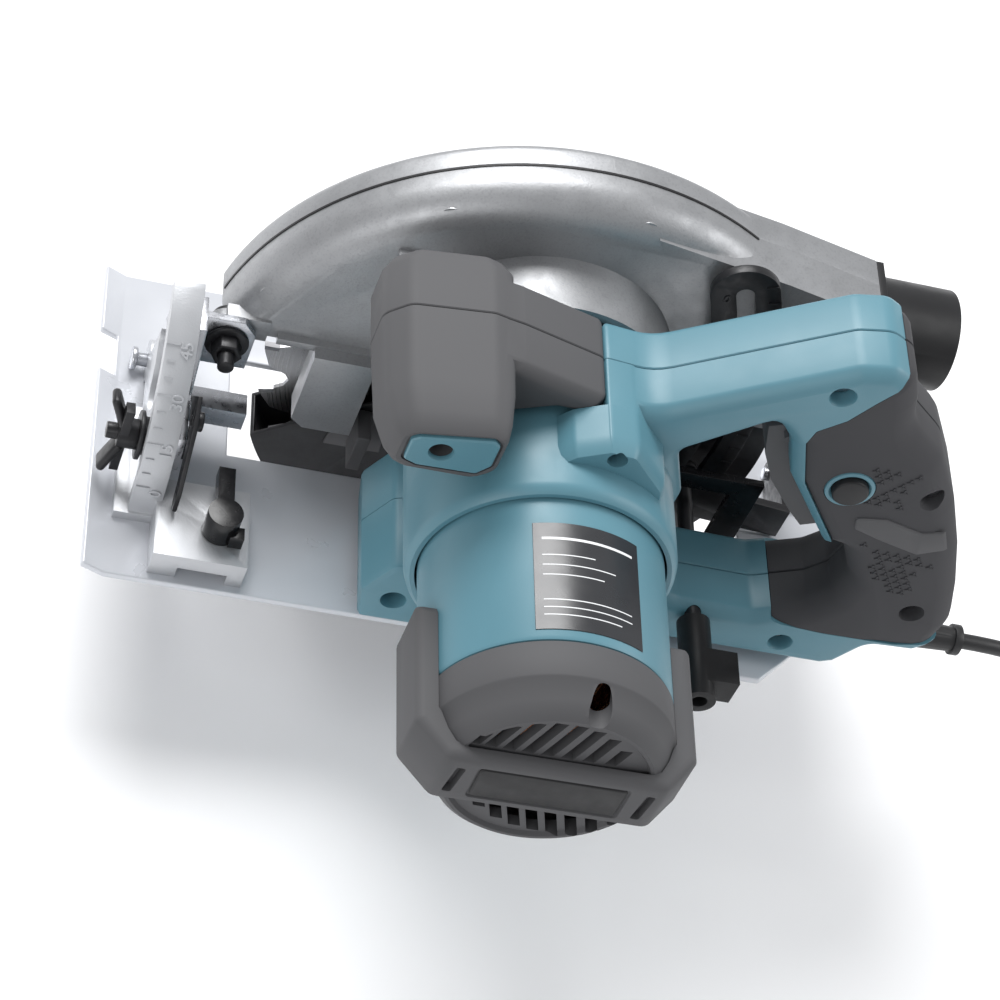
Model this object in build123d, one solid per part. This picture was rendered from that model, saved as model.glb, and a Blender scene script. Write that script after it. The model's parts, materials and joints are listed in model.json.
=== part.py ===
"""Corded circular saw with a 190 mm blade, a tilting base and a swinging lower guard.

Frame: X runs from the front of the saw to the rear, Y from the motor to the blade's
outer side, Z up. z = 0 is the sole, y = 0 the blade plane, x = 0 under the arbor.
"""
import os
from math import atan2, cos, degrees, radians, sin, sqrt, tan

from build123d import *

# ---------------------------------------------------------------- driving dimensions
BLADE_R = 95.0
BLADE_BODY = 1.6
BLADE_KERF = 2.4
BLADE_TEETH = 24
ARBOR_Z = 34.0
CENTRE_DISTANCE = 42.0
MODULE = 1.5
PINION_TEETH = 10
GEAR_TEETH = 46
MOTOR_X = -5.0
MOTOR_Z = ARBOR_Z + sqrt(CENTRE_DISTANCE**2 - MOTOR_X**2)

BASE_FRONT = -152.0
BASE_REAR = 146.0
BASE_NEAR = -93.0
BASE_FAR = 49.0
BASE_THICK = 3.0

TILT_Y = 4.0
TILT_Z = 8.0
TILT_PIN_R = 2.5
TILT_EYE_R = 4.8
CLAMP_R = 56.0
CLAMP_ANGLE = 20.5
TILT_RANGE = 45.0
QUADRANT_R = 71.0
QUADRANT_X0 = -134.0
QUADRANT_X1 = -126.0

PIVOT_X = -113.5
PIVOT_Z = 55.0
DEPTH_RANGE = 33.0
ROD_X = 70.0
ROD_Z = 27.0
ROD_R = 3.0
GUIDE_Y0 = -24.0
GUIDE_Y1 = -20.5

GUARD_R = 118.5
GUARD_WALL = 3.0
GUARD_NEAR = -17.0
GUARD_SEAM = 1.0
GUARD_FAR = 13.0
GUARD_LOW_Z = 57.0
LOWER_GUARD_R = 99.0
NOSE_R = 25.0

COLLAR_R = 47.0
CAN_R = 42.3
CAN_INNER_R = 39.5
COLLAR_NEAR = -119.0
CAN_NEAR = -176.0
CAP_NEAR = -203.0
CASE_NEAR = -40.0

SPLIT_Y = -67.0
HANDLE_NEAR = -87.0
HANDLE_FAR = -47.0
SHELL = 2.8

DUST_R = 19.0
DUST_Z = 104.0
DUST_END = 145.0

CORD_R = 3.1
RUN_FIT = 0.06
FLOOR_Z = ARBOR_Z - LOWER_GUARD_R

QUADRANT_RIVETS = [(-123, -83), (-123, -63), (-138, -30)]
BRACKET_RIVETS = [(129, -2), (129, 10)]
LOCK_X = -105.0
LOCK_Y = -76.0
LOCK_STEM_Y = -21.0
LOCK_STEM_Z = 30.0
MESH_ANGLE = degrees(atan2(MOTOR_Z - ARBOR_Z, MOTOR_X))
LOOP = [(34, 112), (61, 137), (69, 128), (76, 110), (101, 78), (110, 76), (119, 60), (117, 48), (110, 40),
        (92, 31.5),
        (62, 32), (42, 44), (43, 90)]
PROFILE = [(1, 122), (1, 133), (19, 131), (78, 170), (90, 172.5), (98, 168), (104, 158), (107, 146),
           (125, 130),
           (139, 108), (151, 84), (160, 62), (166, 44), (164, 28), (157, 14), (148, 8), (-52, 8), (-55, 24),
           (-42, 36), (MOTOR_X, MOTOR_Z)]
GRIP_ZONE = [(73, 131), (81, 110), (103, 81), (98, 70), (100, 40), (115, 34), (117, 28), (150, 21), (180, 16),
             (180, 120), (115, 185), (96, 172), (88, 156), (82, 145), (74, 138)]
TRIGGER = [(64, 122), (68, 108), (76, 94), (88, 80), (95, 73), (101, 76), (97, 86), (86, 100), (80, 114),
           (75, 127)]
TRIGGER_PIN = (71.5, 121.0)
BUTTON_AT = (97.0, 112.0)
SLEEVE_Z = 14.0
HANDLE_SCREWS = [(76, 157), (6.5, 127.5), (107, 20)]
GRIP_SCREWS = [(128, 113), (147, 50)]
POMMEL_SCREW = (-56.0, 132.0)
CORD_ROUTE = [(184, SPLIT_Y, SLEEVE_Z), (208, SPLIT_Y, SLEEVE_Z), (232, -63, 0), (250, -57, -23),
              (268, -49, -46),
              (291, -41, -59)]
COIL_AT = (318.0, 2.0, FLOOR_Z + 11.0)
COIL_R = 36.0
COIL_TUBE = 10.3
PLUG_AT = (360.6, 63.0, FLOOR_Z + 8.2)

os.makedirs("parts", exist_ok=True)


# ---------------------------------------------------------------- helpers
def save(name, shape):
    export_step(shape, f"parts/{name}.step")


def block(x0, x1, y0, y1, z0, z1):
    return Pos((x0 + x1) / 2, (y0 + y1) / 2, (z0 + z1) / 2) * Box(x1 - x0, y1 - y0, z1 - z0)


def cyl_x(y, z, r, x0, x1):
    return Pos((x0 + x1) / 2, y, z) * Rot(0, 90, 0) * Cylinder(r, x1 - x0)


def cyl_y(x, z, r, y0, y1):
    return Pos(x, (y0 + y1) / 2, z) * Rot(90, 0, 0) * Cylinder(r, y1 - y0)


def cyl_z(x, y, r, z0, z1):
    return Pos(x, y, (z0 + z1) / 2) * Cylinder(r, z1 - z0)


def ring_y(x, z, r_out, r_in, y0, y1):
    return cyl_y(x, z, r_out, y0, y1) - cyl_y(x, z, r_in, y0 - 1, y1 + 1)


def side_plane(y):
    """A plane whose own x and y are the frame's X and Z, facing -Y."""
    return Plane(origin=(0, y, 0), x_dir=(1, 0, 0), z_dir=(0, -1, 0))


def front_plane(x):
    """A plane whose own x and y are the frame's Y and Z, facing +X."""
    return Plane(origin=(x, 0, 0), x_dir=(0, 1, 0), z_dir=(1, 0, 0))


def outline(points, radius=0):
    face = make_face(Polyline(*points, close=True))
    return fillet(face.vertices(), radius) if radius else face


def slab_y(face, y0, y1):
    return extrude(side_plane(y1) * face, amount=y1 - y0)


def slab_x(face, x0, x1):
    return extrude(front_plane(x0) * face, amount=x1 - x0)


def polar(cx, cy, r, angle):
    return (cx + r * cos(radians(angle)), cy + r * sin(radians(angle)))


def arc_band(cx, cy, r, half, a0, a1):
    """A flat band of constant width along an arc, with rounded ends."""
    band = Pos(cx, cy) * (Circle(r + half) - Circle(r - half))
    far = 3 * (r + half)
    rim = [polar(cx, cy, far, a) for a in (a0, (a0 + a1) / 2, a1)]
    wedge = outline([(cx, cy)] + rim)
    ends = [Pos(*polar(cx, cy, r, a)) * Circle(half) for a in (a0, a1)]
    return band & wedge, ends


def hex_y(x, z, across, y0, y1):
    head = Pos(x, z) * RegularPolygon(across / 2, 6, major_radius=False)
    return slab_y(head, y0, y1)


# ---------------------------------------------------------------- base
CLAMP_AT = polar(TILT_Y, TILT_Z, CLAMP_R, 180 - CLAMP_ANGLE)
GUARD_SCREWS = [polar(0, ARBOR_Z, 110, a) for a in (158, 118, 82)]


def base_plate():
    corner = BASE_REAR - 105
    points = [
        (BASE_FRONT + 9, BASE_NEAR),
        (105, BASE_NEAR),
        (BASE_REAR, BASE_NEAR + corner),
        (BASE_REAR, BASE_FAR),
        (BASE_FRONT + 9, BASE_FAR),
    ]
    plate = extrude(outline(points), amount=BASE_THICK)
    lip_side = [(-9, 4), (0, 0.0), (0, BASE_THICK), (-8.4, 7)]
    lip_plane = Plane(origin=(BASE_FRONT + 9, BASE_FAR, 0), x_dir=(1, 0, 0), z_dir=(0, -1, 0))
    lip = extrude(lip_plane * outline(lip_side),
                  amount=BASE_FAR - BASE_NEAR)
    plate += lip
    plate -= block(-101, 101, -30, 17, -1, 5)
    plate -= block(-46, 52, -47, -29, -1, 5)
    plate -= block(BASE_FRONT - 1, BASE_FRONT + 7, -2, 17, -1, 9)
    save("base_plate", plate)


def front_quadrant():
    sector = [(TILT_Y, TILT_Z)]
    sector += [polar(TILT_Y, TILT_Z, QUADRANT_R + 60, a) for a in (186, 160, 130, 180 - 74)]
    face = (Pos(TILT_Y, TILT_Z) * Circle(QUADRANT_R)) & outline(sector)
    face += Pos(TILT_Y, TILT_Z) * Circle(8)
    slot, ends = arc_band(TILT_Y, TILT_Z, CLAMP_R, 3.3, 180 - CLAMP_ANGLE - TILT_RANGE, 180 - CLAMP_ANGLE)
    face -= slot
    for end in ends:
        face -= end
    window, window_ends = arc_band(TILT_Y, TILT_Z, 34, 8, 180 - 62, 180 - 30)
    face -= window
    for end in window_ends:
        face -= end
    plate = slab_x(face, QUADRANT_X0, QUADRANT_X1)
    rim_out = cyl_x(TILT_Y, TILT_Z, QUADRANT_R, QUADRANT_X0 - 3, QUADRANT_X0)
    rim = (rim_out - cyl_x(TILT_Y, TILT_Z, QUADRANT_R - 5, QUADRANT_X0 - 4, QUADRANT_X0)) & slab_x(
        outline(sector), QUADRANT_X0 - 4, QUADRANT_X0)
    foot = block(-142, QUADRANT_X1, -68, -18, BASE_THICK, 7)
    holder = block(-128, -94, -90, -56, BASE_THICK, 15)
    casting = plate + rim + foot + holder
    casting -= block(-170, -60, -120, 60, -80, BASE_THICK)
    casting -= block(-118, -100, -91, -55, BASE_THICK - 1, 8.5)
    casting -= cyl_x(TILT_Y, TILT_Z, TILT_PIN_R, -150, -120)
    casting -= cyl_z(-105, -76, 2.5 + RUN_FIT, 8, 16)
    for x, y in QUADRANT_RIVETS:
        casting -= cyl_z(x, y, 2.5, 0, 12)
    save("front_quadrant", casting)


def base_rivets():
    rivets = []
    for x, y in QUADRANT_RIVETS:
        rivets.append(cyl_z(x, y, 2.5, BASE_THICK, 9))
    for x, y in BRACKET_RIVETS:
        rivets.append(cyl_z(x, y, 2.5, BASE_THICK, 6) + cyl_z(x, y, 4.2, 6, 7.6))
    save("base_rivets", Compound(children=rivets))


def rear_pivot_bracket():
    ear = slab_x(outline([(-9, BASE_THICK), (15, BASE_THICK), (12, 14), (-4, 14)]), 117, 120)
    foot = block(117, 135, -9, 15, BASE_THICK, 6)
    part = ear + foot - cyl_x(TILT_Y, TILT_Z, TILT_PIN_R, 110, 121)
    part -= cyl_x(TILT_Y, TILT_Z, 4.6, 120, 122.3)
    for x, y in BRACKET_RIVETS:
        part -= cyl_z(x, y, 2.5, 2, 8)
    save("rear_pivot_bracket", part)


def tilt_pins():
    front = cyl_x(TILT_Y, TILT_Z, TILT_PIN_R, -138, -121) + cyl_x(TILT_Y, TILT_Z, 4.4, -140, -138)
    rear = cyl_x(TILT_Y, TILT_Z, TILT_PIN_R, 112, 120) + cyl_x(TILT_Y, TILT_Z, 4.4, 120, 122)
    save("tilt_pins", Compound(children=[front, rear]))


def fence_lock():
    hub = cyl_z(LOCK_X, LOCK_Y, 6.4, 15.3, 27)
    arm = block(LOCK_X - 3, LOCK_X + 3, LOCK_Y, LOCK_Y + 21, 20, 26)
    nub = block(LOCK_X + 3, LOCK_X + 8, LOCK_Y - 7, LOCK_Y - 2, 16, 22)
    stud = cyl_z(LOCK_X, LOCK_Y, 2.5, 8.7, 20)
    save("fence_lock_lever", hub + arm + nub + stud)


# ---------------------------------------------------------------- tilting frame
def front_tilt_bracket():
    points = [(TILT_Y, 12.6), (-6, 30), (-12, 66), (-28, 66), (-38, 42), (-56, 38), (-57, 22), (-40, 14),
              (-4, 3.5), (TILT_Y, 3.5)]
    plate = slab_x(outline(points), QUADRANT_X1 + 0.3, QUADRANT_X1 + 3.3)
    plate += cyl_x(TILT_Y, TILT_Z, TILT_EYE_R, QUADRANT_X1 + 0.3, QUADRANT_X1 + 3.3)
    ear = slab_y(outline([(-123, 42), (-104, 42), (-104, 60), (-109, 66), (-123, 66)]), -21.4, -18.4)
    channel = block(-123, -99, -29, -19.5, 17, 26) - block(-120, -98, -26.5, -22, 16, 23.5)
    part = plate + ear + channel
    part -= cyl_x(TILT_Y, TILT_Z, TILT_PIN_R + RUN_FIT, -130, -119)
    part -= cyl_y(PIVOT_X, PIVOT_Z, 3.0 + RUN_FIT, -30, -10)
    part -= cyl_x(*CLAMP_AT, 3.0, -130, -119)
    save("front_tilt_bracket", part)


def tilt_clamp():
    y, z = CLAMP_AT
    bolt = cyl_x(y, z, 3.0, -150, QUADRANT_X1 + 3.3)
    bolt += cyl_x(y, z, 6.0, QUADRANT_X1 + 3.3, QUADRANT_X1 + 6.8)
    washer = cyl_x(y, z, 9.0, -138.8, -137.2) + cyl_x(y, z, 7.0, -137.2, QUADRANT_X0 - 0.1)
    washer -= cyl_x(y, z, 3.0, -140, -130)
    save("tilt_clamp_bolt", Compound(children=[bolt, washer]))
    nut = cyl_x(y, z, 5.6, -146, -139)
    for side in (1, -1):
        wing = outline([(y + 2, z), (y - 2.5 * side + 4, z + side * 15), (y - 4.5, z + side * 16.5),
                        (y - 4.5, z + side * 3)])
        nut += slab_x(wing, -145.6, -142.4)
    nut -= cyl_x(y, z, 3.0 + RUN_FIT, -148, -137)
    save("wing_nut", nut)


def tilt_pointer():
    x0 = QUADRANT_X1 + 3.3
    points = [(-40, 44), (-50, 56), (-60, 50), (-71, 26), (-72, 17), (-67, 16), (-64, 24), (-55, 41), (-48, 40)]
    arm = slab_x(outline(points), x0, x0 + 1.6)
    screw_at = (-53, 46)
    arm -= cyl_x(*screw_at, 2.0, x0 - 1, x0 + 4)
    save("tilt_pointer", arm)
    screw = cyl_x(*screw_at, 2.0, x0 - 0.4, x0 + 1.6) + cyl_x(*screw_at, 3.6, x0 + 1.6, x0 + 4)
    save("tilt_pointer_screw", screw)


def depth_guide():
    a_rod = degrees(atan2(ROD_Z - PIVOT_Z, ROD_X - PIVOT_X))
    radius = sqrt((ROD_X - PIVOT_X)**2 + (ROD_Z - PIVOT_Z)**2)
    band, ends = arc_band(PIVOT_X, PIVOT_Z, radius, 12.5, a_rod - 3, a_rod + DEPTH_RANGE)
    face = band + ends[1]
    face += outline([(63, 32), (90, 32), (100, 22), (116.5, 20), (116.5, 4.5), (62, 9)])
    face &= outline([(0, 4.5), (200, 4.5), (200, 300), (0, 300)])
    slot, slot_ends = arc_band(PIVOT_X, PIVOT_Z, radius, ROD_R + 0.35, a_rod, a_rod + DEPTH_RANGE)
    face -= slot
    for end in slot_ends:
        face -= end
    plate = slab_y(face, GUIDE_Y0, GUIDE_Y1)
    flange_face = outline([(GUIDE_Y0, 4.5), (-4, 3.4), (TILT_Y, 3.4), (TILT_Y, TILT_Z + TILT_EYE_R), (-10, 20),
                           (GUIDE_Y0, 20)])
    flange = slab_x(flange_face, 113.5, 116.5) + cyl_x(TILT_Y, TILT_Z, TILT_EYE_R, 113.5, 116.5)
    part = plate + flange - cyl_x(TILT_Y, TILT_Z, TILT_PIN_R + RUN_FIT, 110, 119)
    save("depth_guide", part)


# ---------------------------------------------------------------- gear case and guards
def pear(r_spindle, r_motor):
    """Two circles about the spindle and the motor joined by their outer tangents."""
    length = CENTRE_DISTANCE
    lean = degrees(atan2(MOTOR_Z - ARBOR_Z, MOTOR_X))
    turn = degrees(atan2(sqrt(length**2 - (r_motor - r_spindle)**2), r_spindle - r_motor))
    points = [polar(0, ARBOR_Z, r_spindle, lean - turn), polar(MOTOR_X, MOTOR_Z, r_motor, lean - turn),
              polar(MOTOR_X, MOTOR_Z, r_motor, lean + turn), polar(0, ARBOR_Z, r_spindle, lean + turn)]
    face = outline(points) + Pos(0, ARBOR_Z) * Circle(r_spindle)
    return face + Pos(MOTOR_X, MOTOR_Z) * Circle(r_motor)


def guard_disc(radius, y0, y1, round_r):
    disc = cyl_y(0, ARBOR_Z, radius, y0, y1)
    near_edge = disc.edges().filter_by(GeomType.CIRCLE).sort_by(Axis.Y)[0]
    return fillet(near_edge, round_r)


def chute(offset, y0, y1):
    """The sloping channel that leads the chips from the guard to the dust outlet."""
    low, high = DUST_Z - DUST_R - 2, DUST_Z + DUST_R + 2
    points = [(20, high + 18 - offset), (72, high + 9 - offset), (112, high - offset), (112, low + offset),
              (60, low - 8 + offset)]
    return slab_y(outline(points), y0, y1)


def dust_port():
    return block(104, 116, GUARD_NEAR + GUARD_WALL, GUARD_FAR - GUARD_WALL, DUST_Z - 15, DUST_Z + 15)


def upper_guard():
    above = block(-140, 140, -60, 40, GUARD_LOW_Z, 200)
    body = guard_disc(GUARD_R, GUARD_NEAR, GUARD_SEAM, 13) & above
    body += chute(0, GUARD_NEAR, GUARD_SEAM)
    cavity = guard_disc(GUARD_R - GUARD_WALL, GUARD_NEAR + GUARD_WALL, GUARD_SEAM + 5, 9.5)
    body += slab_y(pear(41, 50), -28, GUARD_NEAR + GUARD_WALL)
    body += cyl_y(MOTOR_X, MOTOR_Z, 50, CASE_NEAR, GUARD_NEAR)
    body += cyl_y(0, ARBOR_Z, 15, -37, -20)
    ear = [(-82, 24), (-77, 20), (-59, 20), (-59, GUARD_LOW_Z + 2), (-82, GUARD_LOW_Z + 2)]
    body += slab_y(outline(ear), -25, -14)
    body += block(-96, -50, -20, -14, GUARD_LOW_Z, GUARD_LOW_Z + 3)
    body += block(PIVOT_X - 2, PIVOT_X + 14, -18, -12, PIVOT_Z, GUARD_LOW_Z + 8)
    body -= cavity
    body -= chute(GUARD_WALL, GUARD_NEAR + GUARD_WALL, GUARD_SEAM + 5) & block(70, 140, -60, 40, 0, 200)
    body += cyl_y(PIVOT_X, PIVOT_Z, 7.5, -18, -12)
    nose = cyl_y(0, ARBOR_Z, NOSE_R, GUARD_NEAR, -8.6)
    body += nose
    body -= slab_y(pear(37.6, 12), -25.4, -16.6)
    body -= cyl_y(MOTOR_X, MOTOR_Z, 46.5, CASE_NEAR - 1, -34)
    body -= cyl_y(MOTOR_X, MOTOR_Z, 11, -34.5, -25)
    body -= cyl_y(0, ARBOR_Z, 11, -34, -25)
    body -= cyl_y(0, ARBOR_Z, 16, -17, -8)
    body -= cyl_y(PIVOT_X, PIVOT_Z, 3.0 + RUN_FIT, -30, 0)
    body -= dust_port()
    body -= cyl_y(PIVOT_X, PIVOT_Z, 6.0, -12, -8.4)
    body -= cyl_x(LOCK_STEM_Y, LOCK_STEM_Z, 2.5 + RUN_FIT, 30, 60)
    for x, z in GUARD_SCREWS:
        body += cyl_y(x, z, 4.5, GUARD_NEAR + GUARD_WALL, GUARD_SEAM)
        body -= cyl_y(x, z, 2.0, -12, 3)
    save("upper_guard", body)


def guard_cover():
    above = block(-140, 140, -60, 40, GUARD_LOW_Z, 200)
    disc = cyl_y(0, ARBOR_Z, GUARD_R, GUARD_SEAM, GUARD_FAR)
    far_edge = disc.edges().filter_by(GeomType.CIRCLE).sort_by(Axis.Y)[-1]
    body = fillet(far_edge, 5) & above
    body += chute(0, GUARD_SEAM, GUARD_FAR)
    body -= cyl_y(0, ARBOR_Z, GUARD_R - GUARD_WALL, GUARD_SEAM - 5, GUARD_FAR - GUARD_WALL)
    body -= chute(GUARD_WALL, GUARD_SEAM - 5, GUARD_FAR - GUARD_WALL) & block(70, 140, -60, 40, 0, 200)
    body -= dust_port()
    for x, z in GUARD_SCREWS:
        body += cyl_y(x, z, 4.5, GUARD_SEAM, GUARD_FAR)
        body -= cyl_y(x, z, 2.0, 0, GUARD_FAR + 1)
    save("guard_cover", body)


# ---------------------------------------------------------------- turning parts
def gear_face(teeth, phase, tip_r):
    """A spur gear outline with thinned involute teeth, so that the pair runs free."""
    pitch_r = MODULE * teeth / 2
    base_r = pitch_r * cos(radians(20))
    root_r = pitch_r - 1.3 * MODULE
    thick = 0.40 * 360 / teeth
    start_r = max(base_r, root_r)

    def half_angle(r):
        if r < base_r:
            return half_angle(base_r)
        roll = sqrt((r / base_r)**2 - 1)
        at_pitch = sqrt((pitch_r / base_r)**2 - 1)
        involute = degrees(roll - atan2(roll, 1))
        return thick / 2 + degrees(at_pitch - atan2(at_pitch, 1)) - involute

    radii = [start_r + (tip_r - start_r) * k / 3 for k in range(4)]
    if root_r < base_r:
        radii.insert(0, root_r)
    points = []
    for tooth in range(teeth):
        middle = phase + 360 * tooth / teeth
        points += [polar(0, 0, r, middle - half_angle(r)) for r in radii]
        points += [polar(0, 0, r, middle + half_angle(r)) for r in reversed(radii)]
    return outline(points)


def spindle_set():
    shaft = cyl_y(0, ARBOR_Z, 4, -34.5, -26) + cyl_y(0, ARBOR_Z, 7.5, -26, -1)
    save("spindle", shaft - cyl_y(0, ARBOR_Z, 4, -18, 0))
    gear = slab_y(Pos(0, ARBOR_Z) * gear_face(GEAR_TEETH, MESH_ANGLE + 180 / GEAR_TEETH, 35.7), -25, -17)
    save("drive_gear", gear - cyl_y(0, ARBOR_Z, 7.5, -30, -10))
    inner = cyl_y(0, ARBOR_Z, 20, -6.8, -BLADE_BODY / 2) + cyl_y(0, ARBOR_Z, 10, -1, 0.7)
    save("inner_flange", inner - cyl_y(0, ARBOR_Z, 7.5, -8, -1) - cyl_y(0, ARBOR_Z, 4, -8, 2))
    outer = cyl_y(0, ARBOR_Z, 20, BLADE_BODY / 2, 4.8)
    save("outer_flange", outer - cyl_y(0, ARBOR_Z, 4, 0, 6))
    bolt = cyl_y(0, ARBOR_Z, 4, -17, 4.8) + hex_y(0, ARBOR_Z, 13, 4.8, 10.5)
    save("blade_bolt", bolt)
    save("bearing_retainer", ring_y(0, ARBOR_Z, 27, 13, -8.6, -7.2))


def blade():
    step = 360 / BLADE_TEETH
    body_points = []
    tips = []
    for tooth in range(BLADE_TEETH):
        a = step * tooth
        shape = [(94.6, 1.2), (94.0, 2.4), (91.5, 6.8), (85.0, 9.6), (83.5, 11.8), (85.5, 14.0)]
        body_points += [polar(0, ARBOR_Z, r, a + turn) for r, turn in shape]
        body_points += [polar(0, ARBOR_Z, 89.2, a + step), polar(0, ARBOR_Z, 89.2, a + step + 1.2)]
        tip_corners = ((BLADE_R, 0), (94.6, 1.2), (89.2, 1.2), (89.2, 0))
        tip = outline([polar(0, ARBOR_Z, r, a + step + turn) for r, turn in tip_corners])
        tips.append(slab_y(tip, -BLADE_KERF / 2, BLADE_KERF / 2))
    disc = slab_y(outline(body_points), -BLADE_BODY / 2, BLADE_BODY / 2)
    disc -= cyl_y(0, ARBOR_Z, 10, -5, 5)
    for quarter in range(4):
        x, z = polar(0, ARBOR_Z, 74, 90 * quarter + 26)
        disc -= cyl_y(x, z, 3, -5, 5)
    save("saw_blade", disc)
    save("carbide_teeth", Compound(children=tips))


def armature():
    shaft = cyl_y(MOTOR_X, MOTOR_Z, 4, -196.5, -17.2)
    shaft += slab_y(Pos(MOTOR_X, MOTOR_Z) * gear_face(PINION_TEETH, MESH_ANGLE + 180, 8.9), -24.8, -17.2)
    save("armature_shaft", shaft)
    core = ring_y(MOTOR_X, MOTOR_Z, 23.9, 4, -150, -95)
    for slot in range(12):
        x, z = polar(MOTOR_X, MOTOR_Z, 22.4, 30 * slot)
        core -= cyl_y(x, z, 2.2, -152, -93)
    save("armature_core", core)
    coils = [ring_y(MOTOR_X, MOTOR_Z, 20, 4, -161, -150), ring_y(MOTOR_X, MOTOR_Z, 20, 4, -95, -84)]
    save("armature_windings", Compound(children=coils))
    save("commutator", ring_y(MOTOR_X, MOTOR_Z, 13, 4, -177, -164))
    fan = ring_y(MOTOR_X, MOTOR_Z, 40, 4, -48, -46) + ring_y(MOTOR_X, MOTOR_Z, 9, 4, -62, -46)
    for blade_number in range(9):
        vane = block(MOTOR_X + 8.5, MOTOR_X + 40, -60, -48, MOTOR_Z - 0.8, MOTOR_Z + 0.8)
        fan += vane.rotate(Axis((MOTOR_X, 0, MOTOR_Z), (0, 1, 0)), 40 * blade_number)
    save("cooling_fan", fan & cyl_y(MOTOR_X, MOTOR_Z, 40, -70, -40))


def ball_bearings():
    bearings = [ring_y(MOTOR_X, MOTOR_Z, 11, 4 + RUN_FIT, near, near + 7) for near in (-34, -197)]
    bearings.append(ring_y(0, ARBOR_Z, 11, 4 + RUN_FIT, -34, -27))
    bearings.append(ring_y(0, ARBOR_Z, 16, 7.5 + RUN_FIT, -15.6, -8.8))
    save("ball_bearings", Compound(children=bearings))


def lower_guard():
    rim = ring_y(0, ARBOR_Z, LOWER_GUARD_R, LOWER_GUARD_R - 1.5, -12.4, 8.4)
    near = cyl_y(0, ARBOR_Z, LOWER_GUARD_R, -12.4, -10.9)
    far = ring_y(0, ARBOR_Z, LOWER_GUARD_R, 30, 6.9, 8.4)
    keep = outline([(-105, -26), (-94, -7), (-60, 20), (-32, 38), (0, ARBOR_Z), (32, 40), (112, 60),
                    (112, -80), (-105, -80)])
    shell = (rim + near + far) & slab_y(keep, -20, 20)
    shell += cyl_y(0, ARBOR_Z, 31, -12.4, -9)
    shell -= cyl_y(0, ARBOR_Z, NOSE_R + RUN_FIT, -20, 0)
    save("lower_guard", shell)
    pad = slab_y(outline([(-64, 0), (-62, 16), (-44, 24), (-42, 0)]), -13.9, -12.4)
    lever = block(-56, -51, -27, -13, 3.2, 22)
    save("guard_lever", pad + lever)
    save("guard_return_spring", ring_y(0, ARBOR_Z, 31, NOSE_R + 0.4, -13.7, -12.6))


# ---------------------------------------------------------------- handle and housings


def handle_face():
    return outline(PROFILE) - outline(LOOP)


def cavity_of(face, wall):
    return offset(face, amount=-wall, kind=Kind.INTERSECTION)


def trim_for_works(body):
    body -= cyl_y(ROD_X, ROD_Z, ROD_R + 0.2, -130, -10)
    gate = outline([(60, 128), (76, 134), (92, 104), (110, 84), (104, 70), (60, 100)])
    body -= slab_y(gate, SPLIT_Y - 7.6, SPLIT_Y + 7.6)
    body -= cyl_y(*TRIGGER_PIN, 1.5, SPLIT_Y - 11, SPLIT_Y + 11)
    body -= cyl_x(SPLIT_Y, SLEEVE_Z, 6.3, 138, 175)
    return body


def handle_shells():
    teal = handle_face() - outline(GRIP_ZONE)
    hollow = cavity_of(teal, SHELL)
    for name, near, out_y, ring_to, ring_in in (("handle_shell_far", False, HANDLE_FAR, CASE_NEAR, 43.5),
                                                ("handle_shell_near", True, HANDLE_NEAR, COLLAR_NEAR, CAN_R + 0.2)):
        y0, y1 = sorted((SPLIT_Y, out_y))
        body = slab_y(teal, y0, y1)
        inside = (y0 + SHELL, y1 + 1) if near else (y0 - 1, y1 - SHELL)
        body -= slab_y(hollow, *inside)
        body += cyl_y(MOTOR_X, MOTOR_Z, COLLAR_R, *sorted((SPLIT_Y, ring_to)))
        foot = outline([(-52, 8), (-55, 24), (-45, 40), (-30, 30), (-30, 8)])
        body += slab_y(foot, *sorted((SPLIT_Y, -98 if near else -44)))
        body -= cyl_y(MOTOR_X, MOTOR_Z, ring_in, -130, -30)
        body = trim_for_works(body)
        for x, z in HANDLE_SCREWS:
            body -= cyl_y(x, z, 2.0, -100, -52)
            body -= cyl_y(x, z, 4.4, -100, -79)
        save(name, body)


def grip_halves():
    face = handle_face() & outline(GRIP_ZONE)
    hollow = cavity_of(face, 5)
    for name, near, out_y in (("grip_far", False, HANDLE_FAR), ("grip_near", True, HANDLE_NEAR)):
        y0, y1 = sorted((SPLIT_Y, out_y))
        body = slab_y(face, y0, y1)
        inside = (y0 + 4, y1 + 1) if near else (y0 - 1, y1 - 4)
        body -= slab_y(hollow, *inside)
        body = trim_for_works(body)
        if near:
            body -= cyl_y(*BUTTON_AT, 6.6, -90, -70)
        for x, z in GRIP_SCREWS:
            body -= cyl_y(x, z, 2.0, -100, -52)
            body -= cyl_y(x, z, 4.4, -100, -79)
        save(name, body)


def screws_y(places, head_y, tip_y):
    screws = []
    for x, z in places:
        screws.append(cyl_y(x, z, 2.0, head_y, tip_y) + cyl_y(x, z, 3.6, head_y - 0.1, head_y + 2.4).moved(
            Location((0, -2.4, 0))))
    return screws


def handle_screws():
    save("handle_screws", Compound(children=screws_y(HANDLE_SCREWS + GRIP_SCREWS, -79, -54)))


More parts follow.
